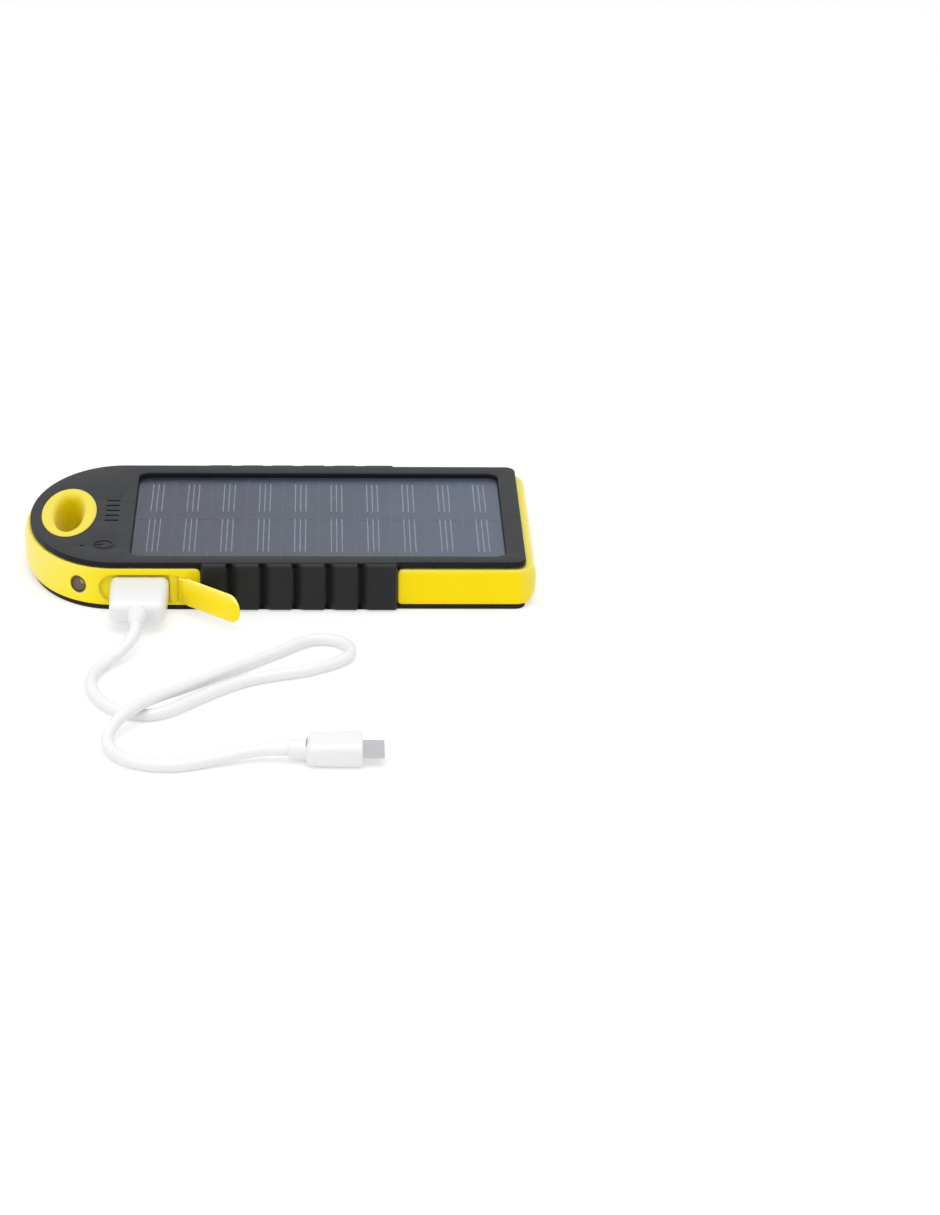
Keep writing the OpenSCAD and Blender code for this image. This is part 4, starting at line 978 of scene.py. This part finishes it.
def makeRing(look):
    # a section of (share from the inner to the outer ellipse, height), carried round
    middle, half = middleOf("lanyard_eye"), (eyeHigh - eyeLow) / 2
    top, plate, low, body = eyeHigh[2] / mm, caseTop / mm, look["low"], look["body"]
    (inW, inH), (outW, outH), (cutW, cutH) = (look[key] for key in ("innerLip", "outerLip", "chamfer"))
    a = quarter(9)
    lip = abreast(inW - inW * np.cos(a), top - inH + inH * np.sin(a))
    brow = abreast(1 - outW + outW * np.sin(a), top - outH + outH * np.cos(a))
    foot = [(body, plate), (body, low + cutH), (body - cutW, low), (cutW, low), (0, low + cutH)]
    share, height = np.concatenate([lip, brow, [(1, plate)], foot]).T
    angle = turns(160)[:, None]
    rx, ry = (v * mm + (out - v * mm) * share for v, out in zip(look["inner"], half))
    rings = np.stack([middle[0] + rx * np.cos(angle), middle[1] + ry * np.sin(angle),
                      height * mm + 0 * angle], axis=2)
    faces = gridFaces(len(angle) + 1, len(share), True) % (len(angle) * len(share))
    parts = [(rings.reshape(-1, 3), faces, True)]
    buildPiece("eye_ring", parts, look, "case", "lanyard_eye", 50)


makeRing(ringLook)

# The port flaps, in millimetres: a tongue that tapers to its edges, a thin neck and a bead. The
# strap runs from just before the hinge to some way past the tongue's heel.
flapLook = {"low": 2.1, "high": 10.1, "proud": 0.1, "thick": 1.4, "crown": 0.85, "rim": 0.66, "neck": 0.8,
            "neckHalf": 3.4, "heel": 1.1, "heelRound": 2.0, "gap": 0.2, "bead": 0.7,
            "strapRim": 0.2, "strapCorner": 0.3, "strapFrom": -0.2, "strapTo": 2.0,
            "spacing": 0.6, "finish": "flapRubber"}


def makeFlap(name, node, body, side, opened, look):
    # The closed flap is drawn in its pocket: a tongue that thins to its edges on the inner face,
    # and a strap from its heel to the bead. It is then turned about the hinge to where it rests.
    m = {k: v * mm for k, v in look.items() if k != "finish"}
    hinge, rear = hinges[body + "_hinge"], side == "rear"
    r, middle = (m["high"] - m["low"]) / 2, (m["high"] + m["low"]) / 2
    far, heel = pocketLook[side] * mm - m["gap"] - r, m["heel"]
    tongue = lidLoop(heel, far, middle, r, m["heelRound"], 30, 12)
    start, stop = m["strapFrom"], heel + m["strapTo"]
    strap = roundedBox((stop - start, 2 * m["neckHalf"]), m["strapCorner"], ((start + stop) / 2, middle), 3)

    def place(p, depth):
        # bends (from the hinge, height) at the depths round the nose, and opens the flap
        s = alongNose(hinge[0], rear) + p[:, 0] * (-1 if rear else 1)
        return turned(onNose(abreast(s, p[:, 1], depth)), hinge, opened)

    def placeTongue(p):
        edge = np.clip(np.maximum(np.abs(p[:, 1] - middle), p[:, 0] - far) / r, 0, 1)
        return place(p, p[:, 2] * (1 - m["crown"] / m["thick"] * edge ** 2.2) - m["proud"])

    def placeStrap(p):
        sunk = m["neck"] / 2 - m["proud"] + 0.02 * mm
        return place(p, p[:, 2] - m["neck"] / 2 + sunk * smoothStep(0, heel, p[:, 0]))

    parts = []
    for outline, step, thick, rim, change in ((tongue, 0.6, m["thick"], m["rim"], placeTongue),
                                              (strap, 0.4, m["neck"], m["strapRim"], placeStrap)):
        edge = edgeOf(stepped(outline, step * mm), thick, rim, rim)
        parts += moved(slab(edge, [], thick, m["spacing"]), change)
    low, high, rim, bead = middle - m["neckHalf"], middle + m["neckHalf"], m["strapRim"], m["bead"]
    edge = bead - rim
    profile = [(0, low), (edge, low), (bead, low + rim), (bead, high - rim), (edge, high), (0, high)]
    parts += moved(revolve(profile, 40), lambda p: p + (hinge[0], hinge[1], 0))
    buildPiece(name, parts, look, body, node)


def turned(points, hinge, degrees):
    # the points turned about the upright line through the hinge
    a = np.radians(degrees)
    x, y = points[:, 0] - hinge[0], points[:, 1] - hinge[1]
    return abreast(hinge[0] + x * np.cos(a) - y * np.sin(a),
                   hinge[1] + x * np.sin(a) + y * np.cos(a), points[:, 2])


makeFlap("front_lid_tongue", "front_flap", "front_lid", "front", 138, flapLook)
makeFlap("rear_lid_tongue", "rear_flap", "rear_lid", "rear", 0, flapLook)

# The silver lines, in millimetres: how many to a cell, their spacing and width, and the cells' gap.
linesLook = {"columns": 10, "group": 3, "spacing": 1.5, "width": 0.3, "gap": 0.6, "finish": "silverPaste"}


def makeLines(look):
    # thin flat bars over the middle of each cell, as long as their row
    (low, high), (under, over) = span("solar_cells"), span("cell_lines")
    gap, half = look["gap"] * mm, look["width"] * mm / 2
    pitch = (high[0] - low[0] + gap) / look["columns"]
    middles = low[0] + (np.arange(look["columns"]) + 0.5) * pitch - gap / 2
    beside = (np.arange(look["group"]) - (look["group"] - 1) / 2) * look["spacing"] * mm
    section = ((-half, under[2]), (half, under[2]), (half, over[2]), (-half, over[2]))
    bars = []
    for x in (middles[:, None] + beside).ravel():
        for row in printedRows:
            bars += loft(np.array([[(x + side, y * mm, z) for side, z in section] for y in row]))
    buildPiece("printed_lines", bars, look, "case", "cell_lines")


makeLines(linesLook)

# The button, in millimetres: its cap, the dish in it, and the raised symbol.
buttonLook = {"capR": 3.9, "dish": 0.06, "flangeR": 4.6, "flange": 0.8, "stemR": 1.25, "symbolR": 2.62,
              "symbolW": 0.7, "symbolH": 0.15, "edge": 0.06, "gapAngle": 21.6,
              "finish": "buttonPlastic symbolPlastic"}


def ridge(path, width, height, level):
    # a low half ellipse carried along a flat path, running out to nothing at its ends
    along = unit(np.gradient(path, axis=0))
    side = abreast(-along[:, 1], along[:, 0])
    a = np.linspace(0, np.pi, 9)
    fromStart = travelled(path)
    fromEnd = np.minimum(fromStart, fromStart[-1] - fromStart) / (width / 2)
    swell = np.sqrt(np.clip(1 - np.clip(1 - fromEnd, 0, 1) ** 2, 0.0025, 1))
    flat = path[:, None] + side[:, None] * (np.cos(a) * width / 2)[None, :, None] * swell[:, None, None]
    up = level + np.sin(a)[None] * height * swell[:, None]
    under = np.array([flat[:, -1], flat[:, 0]]).transpose(1, 0, 2)
    flat = np.concatenate([flat, under], axis=1)
    up = np.concatenate([up, np.full((len(path), 2), level - 0.1 * mm)], axis=1)
    return loft(np.concatenate([flat, up[:, :, None]], axis=2))


def makeButton(look):
    # a stem, flange and dished cap turned about +Z, with an open ring and a bar as ridges
    top, plate, low = caseTop, plateLow - fit, span("power_button")[0][2]
    m = {k: v * mm for k, v in look.items() if k not in ("gapAngle", "finish")}
    level, cap, symbol, flange, edge = top - m["dish"], m["capR"], m["symbolR"], m["flangeR"], m["edge"]
    shoulder = plate - m["flange"]
    profile = [(0, low), (m["stemR"], low), (m["stemR"], shoulder), (flange, shoulder), (flange, plate),
               (cap, plate), (cap, top - edge), (cap - edge / 3, top - edge / 3), (cap - edge, top),
               (symbol + 0.6 * mm, top), (symbol + 0.35 * mm, top - m["dish"] / 2), (symbol, level),
               (0, level)]
    turn = 180 - look["gapAngle"]
    marks = [arc(0, 0, symbol, symbol, -turn, turn, 80),
             abreast(np.linspace(-symbol - 0.4 * mm, -0.2 * mm, 40), 0)]
    parts = revolve(profile)
    for path in marks:
        parts += [(*part, 1) for part in ridge(path, m["symbolW"], m["symbolH"] + m["dish"], level)]
    parts = moved(parts, lambda p: p + middleOf("power_button") * (1, 1, 0))
    buildPiece("power_key", parts, look, "button", "power_button")


makeButton(buttonLook)

nodeFinishes = {
    "sealRubber": "case_seal",
    "screwSteel": "case_screws board_screws",
    "tape": "panel_adhesive",
    "boardLaminate": "panel_board",
    "silicon": "solar_cells",
    "resin": "panel_cover",
    "redPlastic": "switch_plunger",
    "blackPlastic": "tact_switch light_guide control_chips micro_usb_tongue",
    "blueLens": "indicator_lens",
    "lampChip": "indicator_leds torch_led",
    "lampLens": "charge_lens",
    "cupShadeAndReflection": "torch_reflector",
    "torchGlass": "torch_lens",
    "greenBoard": "main_board",
    "socketSteel": "front_usb_shell rear_usb_shell micro_usb_shell plug_shell micro_shell",
    "whitePlastic": "front_usb_tongue rear_usb_tongue plug_insulator",
    "ferrite": "choke",
    "canMetal": "capacitors",
    "pouchFoil": "battery_pack",
    "foam": "battery_pad",
    "redWire": "battery_leads panel_leads",
}
for finish, names in nodeFinishes.items():
    for name in names.split():
        data = frame["nodes"][name].data
        data.materials.clear()
        data.materials.append(materials[finish])
print("finishes set on the frame's own nodes")

# Studio: a wide white floor, a white surround, and soft lamps.
studio = {
    "surround": 0.6, "floorHalf": 3.0, "floorDrop": 0.02 * mm, "floorTint": "#ffffff", "floorLift": 0.58,
    "lamps": {"above": {"place": (0.1, -0.25, 1.5), "size": 1.4, "power": 15.5},
              "left": {"place": (-1.1, -0.9, 0.8), "size": 0.9, "power": 3.8}},
}


def seenDirectly(wire):
    # 1 for a camera, mirror or see-through ray, 0 for light that bounces
    names = ("Is Camera Ray", "Is Glossy Ray", "Is Transmission Ray")
    camera, glossy, through = Wire(wire.tree).split("LightPath", *names)
    return camera.math("MAXIMUM", camera, glossy.math("MAXIMUM", glossy, through))


def makeStudio(look):
    half, level = look["floorHalf"], -look["floorDrop"]
    mesh = bpy.data.meshes.new("floor")
    corners = [(-half, -half, level), (half, -half, level), (half, half, level), (-half, half, level)]
    mesh.from_pydata(corners, [], [(0, 1, 2, 3)])
    floor = bpy.data.objects.new("floor", mesh)
    scene.collection.objects.link(floor)
    material, place = startMaterial("floorPaint", {
        "Roughness": 0.9, "Specular IOR Level": 0.0, "Base Color": tint(look["floorTint"])})
    glow = place.add("Emission")
    paint = Wire(place.tree, place.tree.nodes["Principled BSDF"].outputs[0])
    both = place.add("MixShader", {}, {0: seenDirectly(place) * look["floorLift"], 1: paint, 2: glow})
    place.tree.links.new(both.socket, place.tree.nodes["Material Output"].inputs["Surface"])
    mesh.materials.append(material)
    world = bpy.data.worlds.new("surround")
    scene.world = world
    world.use_nodes = True
    wire = Wire(world.node_tree)
    around = wire.add("Background", {}, {"Color": (1, 1, 1, 1), "Strength": look["surround"]})
    seen = wire.add("Background", {}, {"Color": (1, 1, 1, 1), "Strength": 1.0})
    both = wire.add("MixShader", {}, {0: seenDirectly(wire), 1: around, 2: seen})
    world.node_tree.links.new(both.socket, world.node_tree.nodes["World Output"].inputs["Surface"])
    for name, lamp in look["lamps"].items():
        light = bpy.data.lights.new(name, "AREA")
        light.size = lamp["size"]
        light.energy = lamp["power"]
        holder = bpy.data.objects.new(name, light)
        holder.location = lamp["place"]
        holder.rotation_euler = (-Vector(lamp["place"])).to_track_quat("-Z", "Y").to_euler()
        scene.collection.objects.link(holder)


makeStudio(studio)
print("studio lit")
